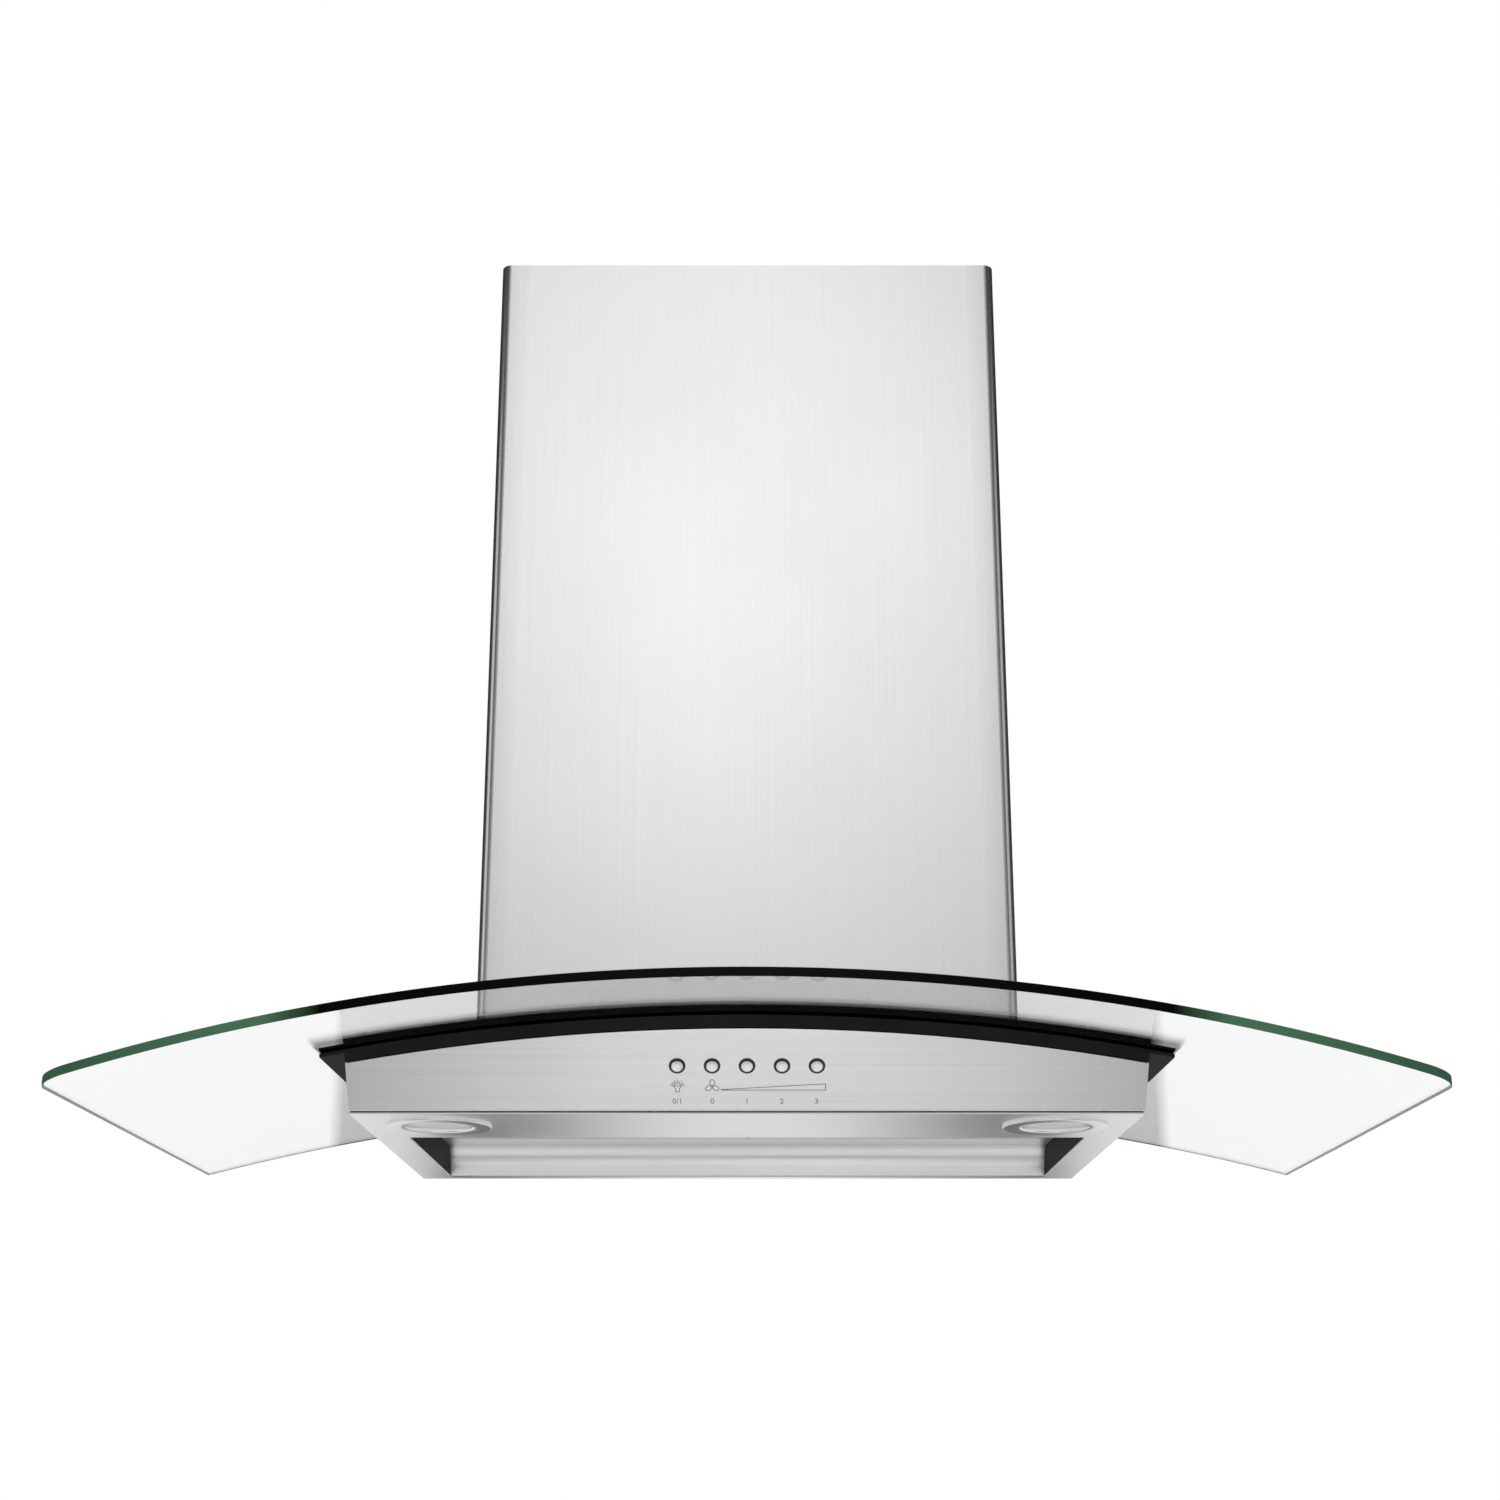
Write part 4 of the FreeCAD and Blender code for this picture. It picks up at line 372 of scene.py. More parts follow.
galvanised, tree, shader = new_material("galvanised_sheet", 1.0)
effect = use_group(tree, spangle)
colour_and_polish(
    tree, shader, effect.outputs["Tone"], (0.46, 0.48, 0.50), (0.66, 0.68, 0.70), 0.34, 0.52)
relief(tree, shader, effect.outputs["Border"], 0.00003)
dress(
    galvanised, "back_panel", "blower_deck", "blower_casing", "blower_scroll", "inlet_ring_left",
    "inlet_ring_right", "motor_bracket", "duct_collar", "damper_flap_front", "damper_flap_rear",
    "lower_cover_bracket", "ceiling_bracket", "junction_box", "junction_cover", "capacitor_clip",
    "glass_clamp_left", "glass_clamp_right",
)


# ---- Black parts -------------------------------------------------------------------------------
# The glass seat is sheet steel with a satin black enamel, which has a faint orange peel. The foam
# tape on it is closed-cell foam. Mouldings are black plastic with a fine spark-eroded grain.

grain_and_dust, group_in, group_out = effect_group(
    "grain_and_dust", [("Grains", "NodeSocketFloat", 1000.0)], ["Grain", "Dust", "Dust Patches"],
)
dust = grains(grain_and_dust, 14, 3)
wire(grain_and_dust, grains(grain_and_dust, group_in.outputs["Grains"], 2), group_out.inputs["Grain"])
wire(grain_and_dust, dust, group_out.inputs["Dust"])
wire(grain_and_dust, mapped(grain_and_dust, dust, 0, 1, 0.35, 0.7), group_out.inputs["Dust Patches"])
DUST_LIGHTER = 1.7


def grainy_black(name, tone, smooth, rough, scale, depth):
    """A black surface with a grain. scale is how many grains fit in a metre."""
    material, tree, shader = new_material(name)
    effect = use_group(tree, grain_and_dust, Grains=scale)
    dusty = tuple(channel * DUST_LIGHTER for channel in tone)
    wire(tree, mix_colours(tree, effect.outputs["Dust Patches"], tone, dusty), shader.inputs["Base Color"])
    wire(tree, mapped(tree, effect.outputs["Dust"], smooth, rough), shader.inputs["Roughness"])
    relief(tree, shader, effect.outputs["Grain"], depth)
    return material


enamel = grainy_black("black_enamel", (0.008, 0.008, 0.009), 0.60, 0.70, 700, 0.00002)
foam = grainy_black("black_foam", (0.012, 0.012, 0.012), 0.85, 0.98, 1800, 0.0002)
plastic = grainy_black("black_plastic", (0.014, 0.014, 0.015), 0.45, 0.58, 3000, 0.00003)
motor_enamel = grainy_black("motor_enamel", (0.02, 0.02, 0.022), 0.30, 0.42, 500, 0.00003)
enamel.node_tree.nodes["Principled BSDF"].inputs["Specular IOR Level"].default_value = 0.08
dress(enamel, "glass_seat_frame")
dress(foam, "glass_gasket")
dress(plastic, "button_guide", "cable_gland", "lamp_driver", "tact_switches")
dress(motor_enamel, "blower_motor")


# ---- Intake liner ------------------------------------------------------------------------------
# One bent steel sheet inside the opening makes the rear wall, which leans a little, and a strip over
# it against which the filters close; its front edge is painted black as the shadow in the gap there.
# A plate stands at either end, painted black enamel as the shade at the ends of the opening.

LINER_LEAN = math.radians(8)
LINER_HALF, LINER_GAUGE, PLATE_TOP = 246.0, 1.0, 34.0
WALL_Y, CEILING, LINER_BEND = -12.0, 24.0, 18.0
STRIP_FRONT, PAINTED_SHADOW_EDGE, PLATE_FRONT = -80.0, -66.0, -236.0
liner_steel = brushed_metal("satin_liner_steel", ALONG_BODY, LIGHT_STEEL, DARK_STEEL, 0.26, 0.36)
LINER_STEPS = 14
straight_rise = CEILING - LINER_BEND - LINER_GAUGE
bend_middle = Vector((
    WALL_Y - (LINER_BEND + math.sin(LINER_LEAN) * straight_rise) / math.cos(LINER_LEAN),
    CEILING - LINER_BEND,
))


def liner_line(gauge):
    """Section of the sheet as Y and Z in mm, from the foot of the wall to the strip's front edge."""
    line = [(WALL_Y + gauge / math.cos(LINER_LEAN), LINER_GAUGE)]
    for step in range(LINER_STEPS + 1):
        turn = LINER_LEAN + (math.pi / 2 - LINER_LEAN) * step / LINER_STEPS
        reach = LINER_BEND + gauge
        line.append((bend_middle.x + reach * math.cos(turn), bend_middle.y + reach * math.sin(turn)))
    return line + [(PAINTED_SHADOW_EDGE, CEILING + gauge), (STRIP_FRONT, CEILING + gauge)]


def add_prism(work, section, left, right, finish):
    """Closed prism over a section of Y and Z in mm, between two places along X."""
    ends = [
        [work.verts.new((x * 0.001, y * 0.001, underside + z * 0.001)) for y, z in section]
        for x in (left, right)
    ]
    count = len(section)
    for number in range(count):
        after = (number + 1) % count
        side = work.faces.new((ends[0][number], ends[0][after], ends[1][after], ends[1][number]))
        side.material_index = finish(number)
    return ends


def add_piece(name, mesh, body, slot, *nodes):
    """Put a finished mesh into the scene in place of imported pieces."""
    piece = bpy.data.objects.new(name, mesh)
    bpy.context.scene.collection.objects.link(piece)
    if nodes:
        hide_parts(*nodes)
    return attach(piece, body)


work = bmesh.new()
inner, outer = liner_line(0.0), liner_line(LINER_GAUGE)
# The strip's front face takes the black enamel as a painted shadow of the gap at the filters.
painted_shadow_face = len(inner) - 2
ends = add_prism(
    work, inner + outer[::-1], -LINER_HALF, LINER_HALF, lambda number: int(number == painted_shadow_face))
last = len(inner) + len(outer) - 1
for line in ends:
    for number in range(len(inner) - 1):
        work.faces.new((line[number], line[number + 1], line[last - number - 1], line[last - number]))
PLATE_BACK = WALL_Y + LINER_GAUGE
plate = [
    (PLATE_FRONT, LINER_GAUGE), (PLATE_BACK, LINER_GAUGE), (PLATE_BACK, PLATE_TOP), (PLATE_FRONT, PLATE_TOP),
]
# The end plates take the black enamel as painted shade at the ends of the opening.
for side in (-1, 1):
    near, far = side * LINER_HALF, side * (LINER_HALF + LINER_GAUGE)
    for end in add_prism(work, plate, near, far, lambda number: 1):
        work.faces.new(end).material_index = 1
bmesh.ops.recalc_face_normals(work, faces=work.faces)
liner_mesh = bpy.data.meshes.new("liner")
work.to_mesh(liner_mesh)
work.free()
liner_mesh.materials.append(liner_steel)
liner_mesh.materials.append(enamel)
liner_mesh.shade_smooth()
liner_mesh.set_sharp_from_angle(angle=math.radians(30))
add_piece("liner", liner_mesh, "hood", "stainless_steel", "intake_liner")


# ---- Grease filters ----------------------------------------------------------------------------
# Two frames of rolled aluminium channel, each round a pad of expanded aluminium: sheet that is slit
# and stretched into diamonds, laid in layers that are staggered so that grease catches in them.

def geometry_tree(name, *inputs):
    """An empty Geometry Nodes tree with named inputs of kind, label and value."""
    tree = bpy.data.node_groups.new(name, "GeometryNodeTree")
    tree.interface.new_socket("Geometry", in_out="INPUT", socket_type="NodeSocketGeometry")
    for kind, label, value in inputs:
        entry = tree.interface.new_socket(label, in_out="INPUT", socket_type="NodeSocket" + kind)
        entry.default_value = value
    tree.interface.new_socket("Geometry", in_out="OUTPUT", socket_type="NodeSocketGeometry")
    return tree, tree.nodes.new("NodeGroupInput").outputs, tree.nodes.new("NodeGroupOutput")


def add_node(tree, kind, **inputs):
    """A Geometry Nodes node with its named inputs, each a value or another node's output."""
    node = tree.nodes.new(kind)
    for label, value in inputs.items():
        feed(tree, node.inputs[label.replace("_", " ")], value)
    return node


def vector_of(tree, x, y, z):
    """A vector from three numbers or outputs."""
    return add_node(tree, "ShaderNodeCombineXYZ", X=x, Y=y, Z=z).outputs[0]


def end_tree(tree, geometry, group_end, material, chosen=None, chosen_material=None):
    """Make instances real, give the finish, and another to chosen faces, and put the geometry out."""
    real = add_node(tree, "GeometryNodeRealizeInstances", Geometry=geometry)
    dressed = add_node(tree, "GeometryNodeSetMaterial", Geometry=real.outputs[0], Material=material)
    if chosen is not None:
        dressed = add_node(
            tree, "GeometryNodeSetMaterial", Geometry=dressed.outputs[0], Selection=chosen,
            Material=chosen_material)
    wire(tree, dressed.outputs[0], group_end.inputs["Geometry"])


def run_tree(name, mesh, tree, **values):
    """The plain mesh that a tree makes from a mesh, with the tree's inputs set by name."""
    carrier = bpy.data.objects.new(name, mesh)
    bpy.context.scene.collection.objects.link(carrier)
    modifier = carrier.modifiers.new(name, "NODES")
    modifier.node_group = tree
    for item in tree.interface.items_tree:
        if item.in_out == "INPUT" and item.name.replace(" ", "_") in values:
            modifier[item.identifier] = values[item.name.replace(" ", "_")]
    seen = carrier.evaluated_get(bpy.context.evaluated_depsgraph_get())
    result = bpy.data.meshes.new_from_object(seen)
    result.name = name
    carrier.modifiers.remove(modifier)
    bpy.data.objects.remove(carrier)
    return result


aluminium = brushed_metal(
    "rolled_aluminium", (9, 1100, 1100), (0.74, 0.75, 0.76), (0.62, 0.63, 0.64), 0.26, 0.40)
filter_metal, tree, shader = new_material("expanded_aluminium", 1.0)
streaks = grains(tree, 240, 3)
colour_and_polish(tree, shader, streaks, (0.78, 0.79, 0.80), (0.55, 0.56, 0.57), 0.22, 0.45)
relief(tree, shader, streaks, 0.00005)
dress(aluminium, "filter_frame_left", "filter_frame_right")

expanded, given, tree_end = geometry_tree(
    "expanded_mesh",
    ("Vector", "Centre", (0.0, 0.0, 0.0)),
    ("Float", "Width", 0.2),
    ("Float", "Depth", 0.1),
    ("Float", "Pitch Across", 0.0086),
    ("Float", "Pitch Along", 0.0046),
    ("Float", "Strand Width", 0.0009),
    ("Float", "Sheet Thickness", 0.0005),
    ("Float", "Layer Step", 0.0016),
)
across, along = given["Pitch Across"], given["Pitch Along"]
columns = math_node(expanded, "FLOOR", math_node(expanded, "DIVIDE", given["Width"], across))
rows = math_node(expanded, "FLOOR", math_node(expanded, "DIVIDE", given["Depth"], along))
cells = add_node(
    expanded, "GeometryNodeMeshGrid",
    Size_X=math_node(expanded, "SUBTRACT", given["Width"], across),
    Size_Y=math_node(expanded, "SUBTRACT", given["Depth"], along),
    Vertices_X=columns, Vertices_Y=rows,
)
squares = [math_node(expanded, "MULTIPLY", pitch, pitch) for pitch in (across, along)]
diagonal = math_node(expanded, "SQRT", math_node(expanded, "ADD", *squares))
slant = math_node(expanded, "ARCTAN2", along, across)
strand = add_node(
    expanded, "GeometryNodeMeshCube",
    Size=vector_of(expanded, diagonal, given["Strand Width"], given["Sheet Thickness"]),
)
STRAND_TILT, LAYER_STAGGER = 0.55, 0.12
crossing = expanded.nodes.new("GeometryNodeJoinGeometry")
for way in (1, -1):
    turn = vector_of(expanded, STRAND_TILT, 0.0, math_node(expanded, "MULTIPLY", slant, way))
    turned = add_node(expanded, "GeometryNodeTransform", Geometry=strand.outputs["Mesh"], Rotation=turn)
    wire(expanded, turned.outputs[0], crossing.inputs[0])
layers = expanded.nodes.new("GeometryNodeJoinGeometry")
for layer in (-1, 0, 1):
    drop = math_node(expanded, "MULTIPLY", given["Layer Step"], layer)
    sheet = add_node(
        expanded, "GeometryNodeInstanceOnPoints", Points=cells.outputs["Mesh"], Instance=crossing.outputs[0])
    shift = math_node(expanded, "MULTIPLY", across, LAYER_STAGGER * layer)
    placed = add_node(
        expanded, "GeometryNodeTransform", Geometry=sheet.outputs[0],
        Translation=vector_of(expanded, shift, 0.0, drop))
    wire(expanded, placed.outputs[0], layers.inputs[0])
centred = add_node(
    expanded, "GeometryNodeTransform", Geometry=layers.outputs[0], Translation=given["Centre"])
end_tree(expanded, centred.outputs[0], tree_end, filter_metal)

PAD_CLEARANCE = 0.003
for side in ("left", "right"):
    pad_low, pad_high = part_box("filter_mesh_" + side)
    pad = run_tree(
        "filter_pad_" + side, bpy.data.meshes.new("filter_start"), expanded,
        Centre=(pad_low + pad_high) / 2,
        Width=pad_high.x - pad_low.x - PAD_CLEARANCE,
        Depth=pad_high.y - pad_low.y - PAD_CLEARANCE,
    )
    add_piece("filter_pad_" + side, pad, side + "_filter", "filter_mesh", "filter_mesh_" + side)


# ---- Lamps -------------------------------------------------------------------------------------
# Two round lamps in the bottom pan. Each has a turned steel bezel with a polished bowl, and behind
# it a frosted plastic lens with fine rings, which spreads the light of the module above it.

def turned_mesh(name, profile, steps, place, material, crease=30):
    """Closed mesh of a profile of radius and height, in mm, turned about Z and put in place."""
    work = bmesh.new()
    rings = []
    for radius, height in profile:
        count = steps if radius > 0 else 1
        rings.append([
            work.verts.new((
                radius * 0.001 * math.cos(2 * math.pi * step / steps),
                radius * 0.001 * math.sin(2 * math.pi * step / steps),
                height * 0.001,
            ))
            for step in range(count)
        ])
    pairs = list(zip(rings, rings[1:]))
    if profile[0][0] > 0:
        pairs.append((rings[-1], rings[0]))
    for low, high in pairs:
        for step in range(steps):
            after = (step + 1) % steps
            corners = (
                low[step % len(low)], low[after % len(low)], high[after % len(high)], high[step % len(high)])
            work.faces.new(list(dict.fromkeys(corners)))
    bmesh.ops.recalc_face_normals(work, faces=work.faces)
    work.transform(place)
    mesh = bpy.data.meshes.new(name)
    work.to_mesh(mesh)
    work.free()
    mesh.materials.append(material)
    mesh.shade_smooth()
    mesh.set_sharp_from_angle(angle=math.radians(crease))
    return mesh


polished, tree, shader = new_material("polished_bezel", 1.0)
haze = grains(tree, 35, 3)
colour_and_polish(tree, shader, haze, (0.80, 0.80, 0.80), (0.72, 0.72, 0.72), 0.16, 0.24)
lathe_marks = noise(tree, scaled_place(tree, (1, 1, 4)), 900, 1)
relief(tree, shader, lathe_marks, 0.000004)

frosted, tree, shader = new_material("frosted_lens")
shader.inputs["Transmission Weight"].default_value = 0.3
shader.inputs["IOR"].default_value = 1.49
frost = grains(tree, 1600, 2)
colour_and_polish(tree, shader, frost, (0.82, 0.82, 0.81), (0.90, 0.90, 0.89), 0.28, 0.42)
relief(tree, shader, frost, 0.00004)

BEZEL = (
    (37.0, 0), (37.0, -1.4), (36.85, -1.65), (36.5, -1.78), (36.0, -1.8), (32.0, -1.76), (28.0, -1.68),
    (24.8, -1.58), (24.2, -1.5), (23.7, -1.35), (23.4, -1.1), (23.25, -0.7),
    (23.25, 3.0), (30.0, 3.0), (30.0, 7.0), (32.8, 7.0), (32.8, 0),
)
LENS_FACE, RING_PITCH, RING_FLAT, RING_DEPTH, LENS_RINGS = 1.2, 1.1, 0.45, 0.12, 20
LENS = [(0, LENS_FACE)]
for ring in range(1, LENS_RINGS + 1):
    LENS.append((ring * RING_PITCH - RING_FLAT, LENS_FACE))
    LENS.append((ring * RING_PITCH, LENS_FACE + RING_DEPTH))
LENS += [(22.5, LENS_FACE), (23.0, LENS_FACE + 0.3), (23.0, 3.0), (29.8, 3.0), (29.8, 5.0), (0, 5.0)]
for side in ("left", "right"):
    ring_low, ring_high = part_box("lamp_ring_" + side)
    lamp_place = Matrix.Translation((
        (ring_low.x + ring_high.x) / 2, (ring_low.y + ring_high.y) / 2, underside,
    ))
    bezel = turned_mesh("lamp_bezel_" + side, BEZEL, 96, lamp_place, polished)
    add_piece("lamp_bezel_" + side, bezel, "hood", "stainless_steel", "lamp_ring_" + side)
    lens = turned_mesh("lamp_cover_" + side, LENS, 96, lamp_place, frosted, 50)
    add_piece("lamp_cover_" + side, lens, "hood", "lens", "lamp_lens_" + side)
dress(aluminium, "lamp_module_left", "lamp_module_right")


# ---- Push buttons ------------------------------------------------------------------------------
# Five round caps of satin nickel, slightly dished, stand in black sleeves in the leaning panel. Each
# has a collar behind the panel and a pin for its switch, and a coil spring on the board pushes it out.

PANEL_LEAN = math.radians(36.5)
panel_foot = Vector((0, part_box("bottom_pan")[0].y, underside))
panel_place = Matrix.Translation(panel_foot) @ Matrix.Rotation(math.pi / 2 + PANEL_LEAN, 4, "X")
BUTTON_RISE = 0.0363

satin, tree, shader = new_material("satin_nickel", 1.0)
blast = grains(tree, 2600, 2)
colour_and_polish(tree, shader, blast, (0.90, 0.90, 0.89), (0.82, 0.82, 0.81), 0.22, 0.32)
relief(tree, shader, blast, 0.00001)
spring_wire = brushed_metal(
    "drawn_spring_wire", (900, 900, 900), (0.70, 0.70, 0.70), (0.58, 0.58, 0.58), 0.18, 0.28)
solder_mask, tree, shader = new_material("solder_mask")
tracks = tree.nodes.new("ShaderNodeTexBrick")
for label, number in (("Scale", 160.0), ("Mortar Size", 0.03), ("Brick Width", 0.9), ("Row Height", 0.35)):
    tracks.inputs[label].default_value = number
wire(tree, scaled_place(tree, (1, 1, 1)), tracks.inputs["Vector"])
colour_and_polish(
    tree, shader, tracks.outputs["Fac"], (0.010, 0.095, 0.035), (0.03, 0.16, 0.07), 0.24, 0.34)

CAP = (
    (0, 1.12), (1.2, 1.14), (2.2, 1.20), (2.9, 1.30), (3.3, 1.39), (3.55, 1.40), (3.78, 1.32), (3.93, 1.16),
    (4.0, 0.95), (4.0, -2.9), (5.2, -2.9), (5.2, -4.2), (1.5, -4.2), (1.5, -5.8), (1.3, -6.0), (0, -6.0),
)
WIRE_RADIUS = 0.0003
SPRING_BACK, SPRING_FRONT = -0.0119, -0.0043

coil_spring, given, tree_end = geometry_tree(
    "coil_spring",
    ("Float", "Coil Radius", 0.0048),
    ("Float", "Wire Radius", WIRE_RADIUS),
    ("Float", "Turns", 5.0),
    ("Float", "Height", 0.007),
)
helix = add_node(
    coil_spring, "GeometryNodeCurveSpiral", Resolution=36, Rotations=given["Turns"],
    Start_Radius=given["Coil Radius"], End_Radius=given["Coil Radius"], Height=given["Height"])
wire_section = add_node(
    coil_spring, "GeometryNodeCurvePrimitiveCircle", Resolution=10, Radius=given["Wire Radius"])
coil = add_node(
    coil_spring, "GeometryNodeCurveToMesh", Curve=helix.outputs[0], Profile_Curve=wire_section.outputs[0],
    Fill_Caps=True)
end_tree(coil_spring, coil.outputs[0], tree_end, spring_wire)

for name in ("light", "off", "low", "medium", "high"):
    cap_low, cap_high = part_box("button_" + name)
    cap_place = panel_place @ Matrix.Translation(((cap_low.x + cap_high.x) / 2, BUTTON_RISE, 0))
    cap = turned_mesh("button_cap_" + name, CAP, 48, cap_place, satin, 25)
    add_piece("button_cap_" + name, cap, name + "_button", "button_metal", "button_" + name)
    # The collar closes the spring by the press of its button.
    spring = run_tree(
        "return_spring_" + name, bpy.data.meshes.new("spring_start"), coil_spring,
        Height=SPRING_FRONT - SPRING_BACK - 2 * WIRE_RADIUS)
    spring.transform(cap_place @ Matrix.Translation((0, 0, SPRING_BACK + WIRE_RADIUS)))
    spring.shade_smooth()
    spring.set_sharp_from_angle(angle=math.radians(60))
    piece = add_piece("return_spring_" + name, spring, "hood", "spring_steel", "button_spring_" + name)
    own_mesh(piece)
dress(spring_wire, "filter_clip_left", "filter_clip_right")
dress(solder_mask, "switch_board")


# ---- Panel print -------------------------------------------------------------------------------
# Grey ink, screen-printed on the steel under the buttons: a lamp, a fan, a wedge that grows with the
# fan's speed, and a number under each button. Its drawing is in mm up the panel from the panel's foot.

INK_DEPTH = 0.00004


def ribbon(work, line, width, closed=False):
    """Flat band of one width along a line in mm."""
    count = len(line)
    sides = []
    for number, point in enumerate(line):
        before = Vector(line[number - 1] if closed or number else line[0])
        after = Vector(line[(number + 1) % count] if closed or number < count - 1 else line[-1])
        here = Vector(point)
        first, second = (here - before), (after - here)
        first = first.normalized() if first.length else second.normalized()
        second = second.normalized() if second.length else first
        middle = (first + second).normalized()
        across = Vector((-middle.y, middle.x)) * (width / 2 / max(0.5, middle.dot(first)))
        sides.append([work.verts.new((*((here + way * across) * 0.001), 0)) for way in (-1, 1)])
    for number in range(count if closed else count - 1):
        low, high = sides[number], sides[(number + 1) % count]
        work.faces.new((low[0], high[0], high[1], low[1]))


def ring_line(x, y, wide, tall, lean=0.0, steps=24):
    """Points round an ellipse that leans by an angle."""
    turn = Matrix.Rotation(lean, 2)
    return [
        tuple(Vector((x, y)) + turn @ Vector((
            wide * math.cos(2 * math.pi * step / steps), tall * math.sin(2 * math.pi * step / steps))))
        for step in range(steps)
    ]


ink, tree, shader = new_material("grey_ink")
dots = grains(tree, 4000, 1)
colour_and_polish(tree, shader, dots, (0.10, 0.10, 0.10), (0.16, 0.16, 0.16), 0.45, 0.6)

BUTTON_STEP = 23.5
LAMP_X, FAN_X = -2 * BUTTON_STEP, -BUTTON_STEP
PICTURE_RISE, NUMBER_RISE, NUMBER_SIZE = 21.5, 9.6, 5.6
LINE = 0.5
LAMP_OUTLINE = ((-1.3, -4.6), (-1.3, -2.2), (-2.7, -0.2), (2.7, -0.2), (1.3, -2.2), (1.3, -4.6))
LIGHT_MIDDLE, LIGHT_STEP, LIGHT_FROM, LIGHT_TO = -0.9, 0.42, 2.1, 5.2
FAN_MIDDLE, BLADE_OUT, BLADE_LONG, BLADE_WIDE = -0.6, 2.7, 2.3, 1.7
WEDGE = ((-17.5, -3.4), (53.0, -3.4), (53.0, 1.3), (-17.5, -3.0))
work = bmesh.new()
ribbon(work, [(LAMP_X + x, PICTURE_RISE + y) for x, y in LAMP_OUTLINE], LINE, closed=True)
light_middle = Vector((LAMP_X, PICTURE_RISE + LIGHT_MIDDLE))
for step in range(-3, 4):
    way = Vector((math.sin(step * LIGHT_STEP), math.cos(step * LIGHT_STEP)))
    ribbon(work, [tuple(light_middle + way * LIGHT_FROM), tuple(light_middle + way * LIGHT_TO)], LINE)
for blade in range(3):
    lean = math.pi / 2 + blade * 2 * math.pi / 3
    blade_middle = Vector((FAN_X, PICTURE_RISE + FAN_MIDDLE))
    blade_middle += BLADE_OUT * Vector((math.cos(lean), math.sin(lean)))
    ribbon(work, ring_line(*blade_middle, BLADE_LONG, BLADE_WIDE, lean), LINE, closed=True)
ribbon(work, [(x, PICTURE_RISE + y) for x, y in WEDGE], LINE, closed=True)


def print_number(work, text, x, rise, size):
    """Add printed digits, centred on a point in mm."""
    font = bpy.data.curves.new("digits", "FONT")
    font.body = text
    font.size = size * 0.001
    font.align_x = "CENTER"
    font.align_y = "CENTER"
    carrier = bpy.data.objects.new("digits", font)
    flat = bpy.data.meshes.new_from_object(carrier)
    flat.transform(Matrix.Translation((x * 0.001, rise * 0.001, 0)))
    work.from_mesh(flat)
    bpy.data.objects.remove(carrier)
    bpy.data.meshes.remove(flat)


for number, text in enumerate(("0/1", "0", "1", "2", "3")):
    print_number(work, text, (number - 2) * BUTTON_STEP, NUMBER_RISE, NUMBER_SIZE)


def thicken(work, thickness):
    """Make a closed body of flat faces by their copy at a height above them."""
    above = bmesh.ops.extrude_face_region(work, geom=work.faces[:])["geom"]
    lifted = [item for item in above if isinstance(item, bmesh.types.BMVert)]
    bmesh.ops.translate(work, vec=(0, 0, thickness), verts=lifted)
    bmesh.ops.recalc_face_normals(work, faces=work.faces)


thicken(work, INK_DEPTH)
work.transform(panel_place)
print_mesh = bpy.data.meshes.new("panel_print")
work.to_mesh(print_mesh)
work.free()
print_mesh.materials.append(ink)
add_piece("panel_print", print_mesh, "hood", "black_plastic")


# ---- Glass canopy ------------------------------------------------------------------------------
# One sheet of 6 mm tempered glass, cut flat, its edge ground and polished, then bent over one axis.
# It is notched at the wall for the blower and has six holes for the clamp screws. Looking into its
# edge, the glass is green; in front its edge is painted black, standing in for the dark seat seen
# through the glass behind it.

GLASS_DEPTH, GLASS_HALF = 0.500, 0.450
GLASS_THICK, EDGE_ROUNDING = 0.006, 0.0012
FRONT_RADIUS, CORNER_RADIUS = 2.061, 0.026
NOTCH_HALF, NOTCH_DEPTH = 0.165, 0.252
CLAMP_ACROSS, CLAMP_MIDDLE, CLAMP_STEP = 0.180, 0.130, 0.090
BEND_RADIUS = 1.770
CROWN = 0.0608
CLAMP_HOLE = 0.005
SLICE = 0.015
SLICES_EACH_SIDE = round(GLASS_HALF / SLICE) - 1
CORNER_STEPS = 12

arc_centre = FRONT_RADIUS - GLASS_DEPTH
corner_x = GLASS_HALF - CORNER_RADIUS
corner_y = arc_centre - math.sqrt((FRONT_RADIUS - CORNER_RADIUS) ** 2 - corner_x ** 2)
touch_angle = math.atan2(corner_x, arc_centre - corner_y)
corner_turn = math.pi / 2 - touch_angle
outline = [(-GLASS_HALF, 0.0)]
for step in range(CORNER_STEPS + 1):
    turn = math.pi + corner_turn * step / CORNER_STEPS
    outline.append((-corner_x + CORNER_RADIUS * math.cos(turn), corner_y + CORNER_RADIUS * math.sin(turn)))
for number in range(1 - SLICES_EACH_SIDE, SLICES_EACH_SIDE):
    outline.append((number * SLICE, arc_centre - math.sqrt(FRONT_RADIUS ** 2 - (number * SLICE) ** 2)))
for step in range(CORNER_STEPS + 1):
    turn = -corner_turn + corner_turn * step / CORNER_STEPS
    outline.append((corner_x + CORNER_RADIUS * math.cos(turn), corner_y + CORNER_RADIUS * math.sin(turn)))
outline += [
    (GLASS_HALF, 0.0), (NOTCH_HALF, 0.0), (NOTCH_HALF, -NOTCH_DEPTH), (-NOTCH_HALF, -NOTCH_DEPTH),
    (-NOTCH_HALF, 0.0),
]


def add_loop(work, points):
    """Closed loop of edges through points in plan."""
    spots = [work.verts.new((*point, 0)) for point in points]
    return [work.edges.new((spot, after)) for spot, after in zip(spots, spots[1:] + spots[:1])]


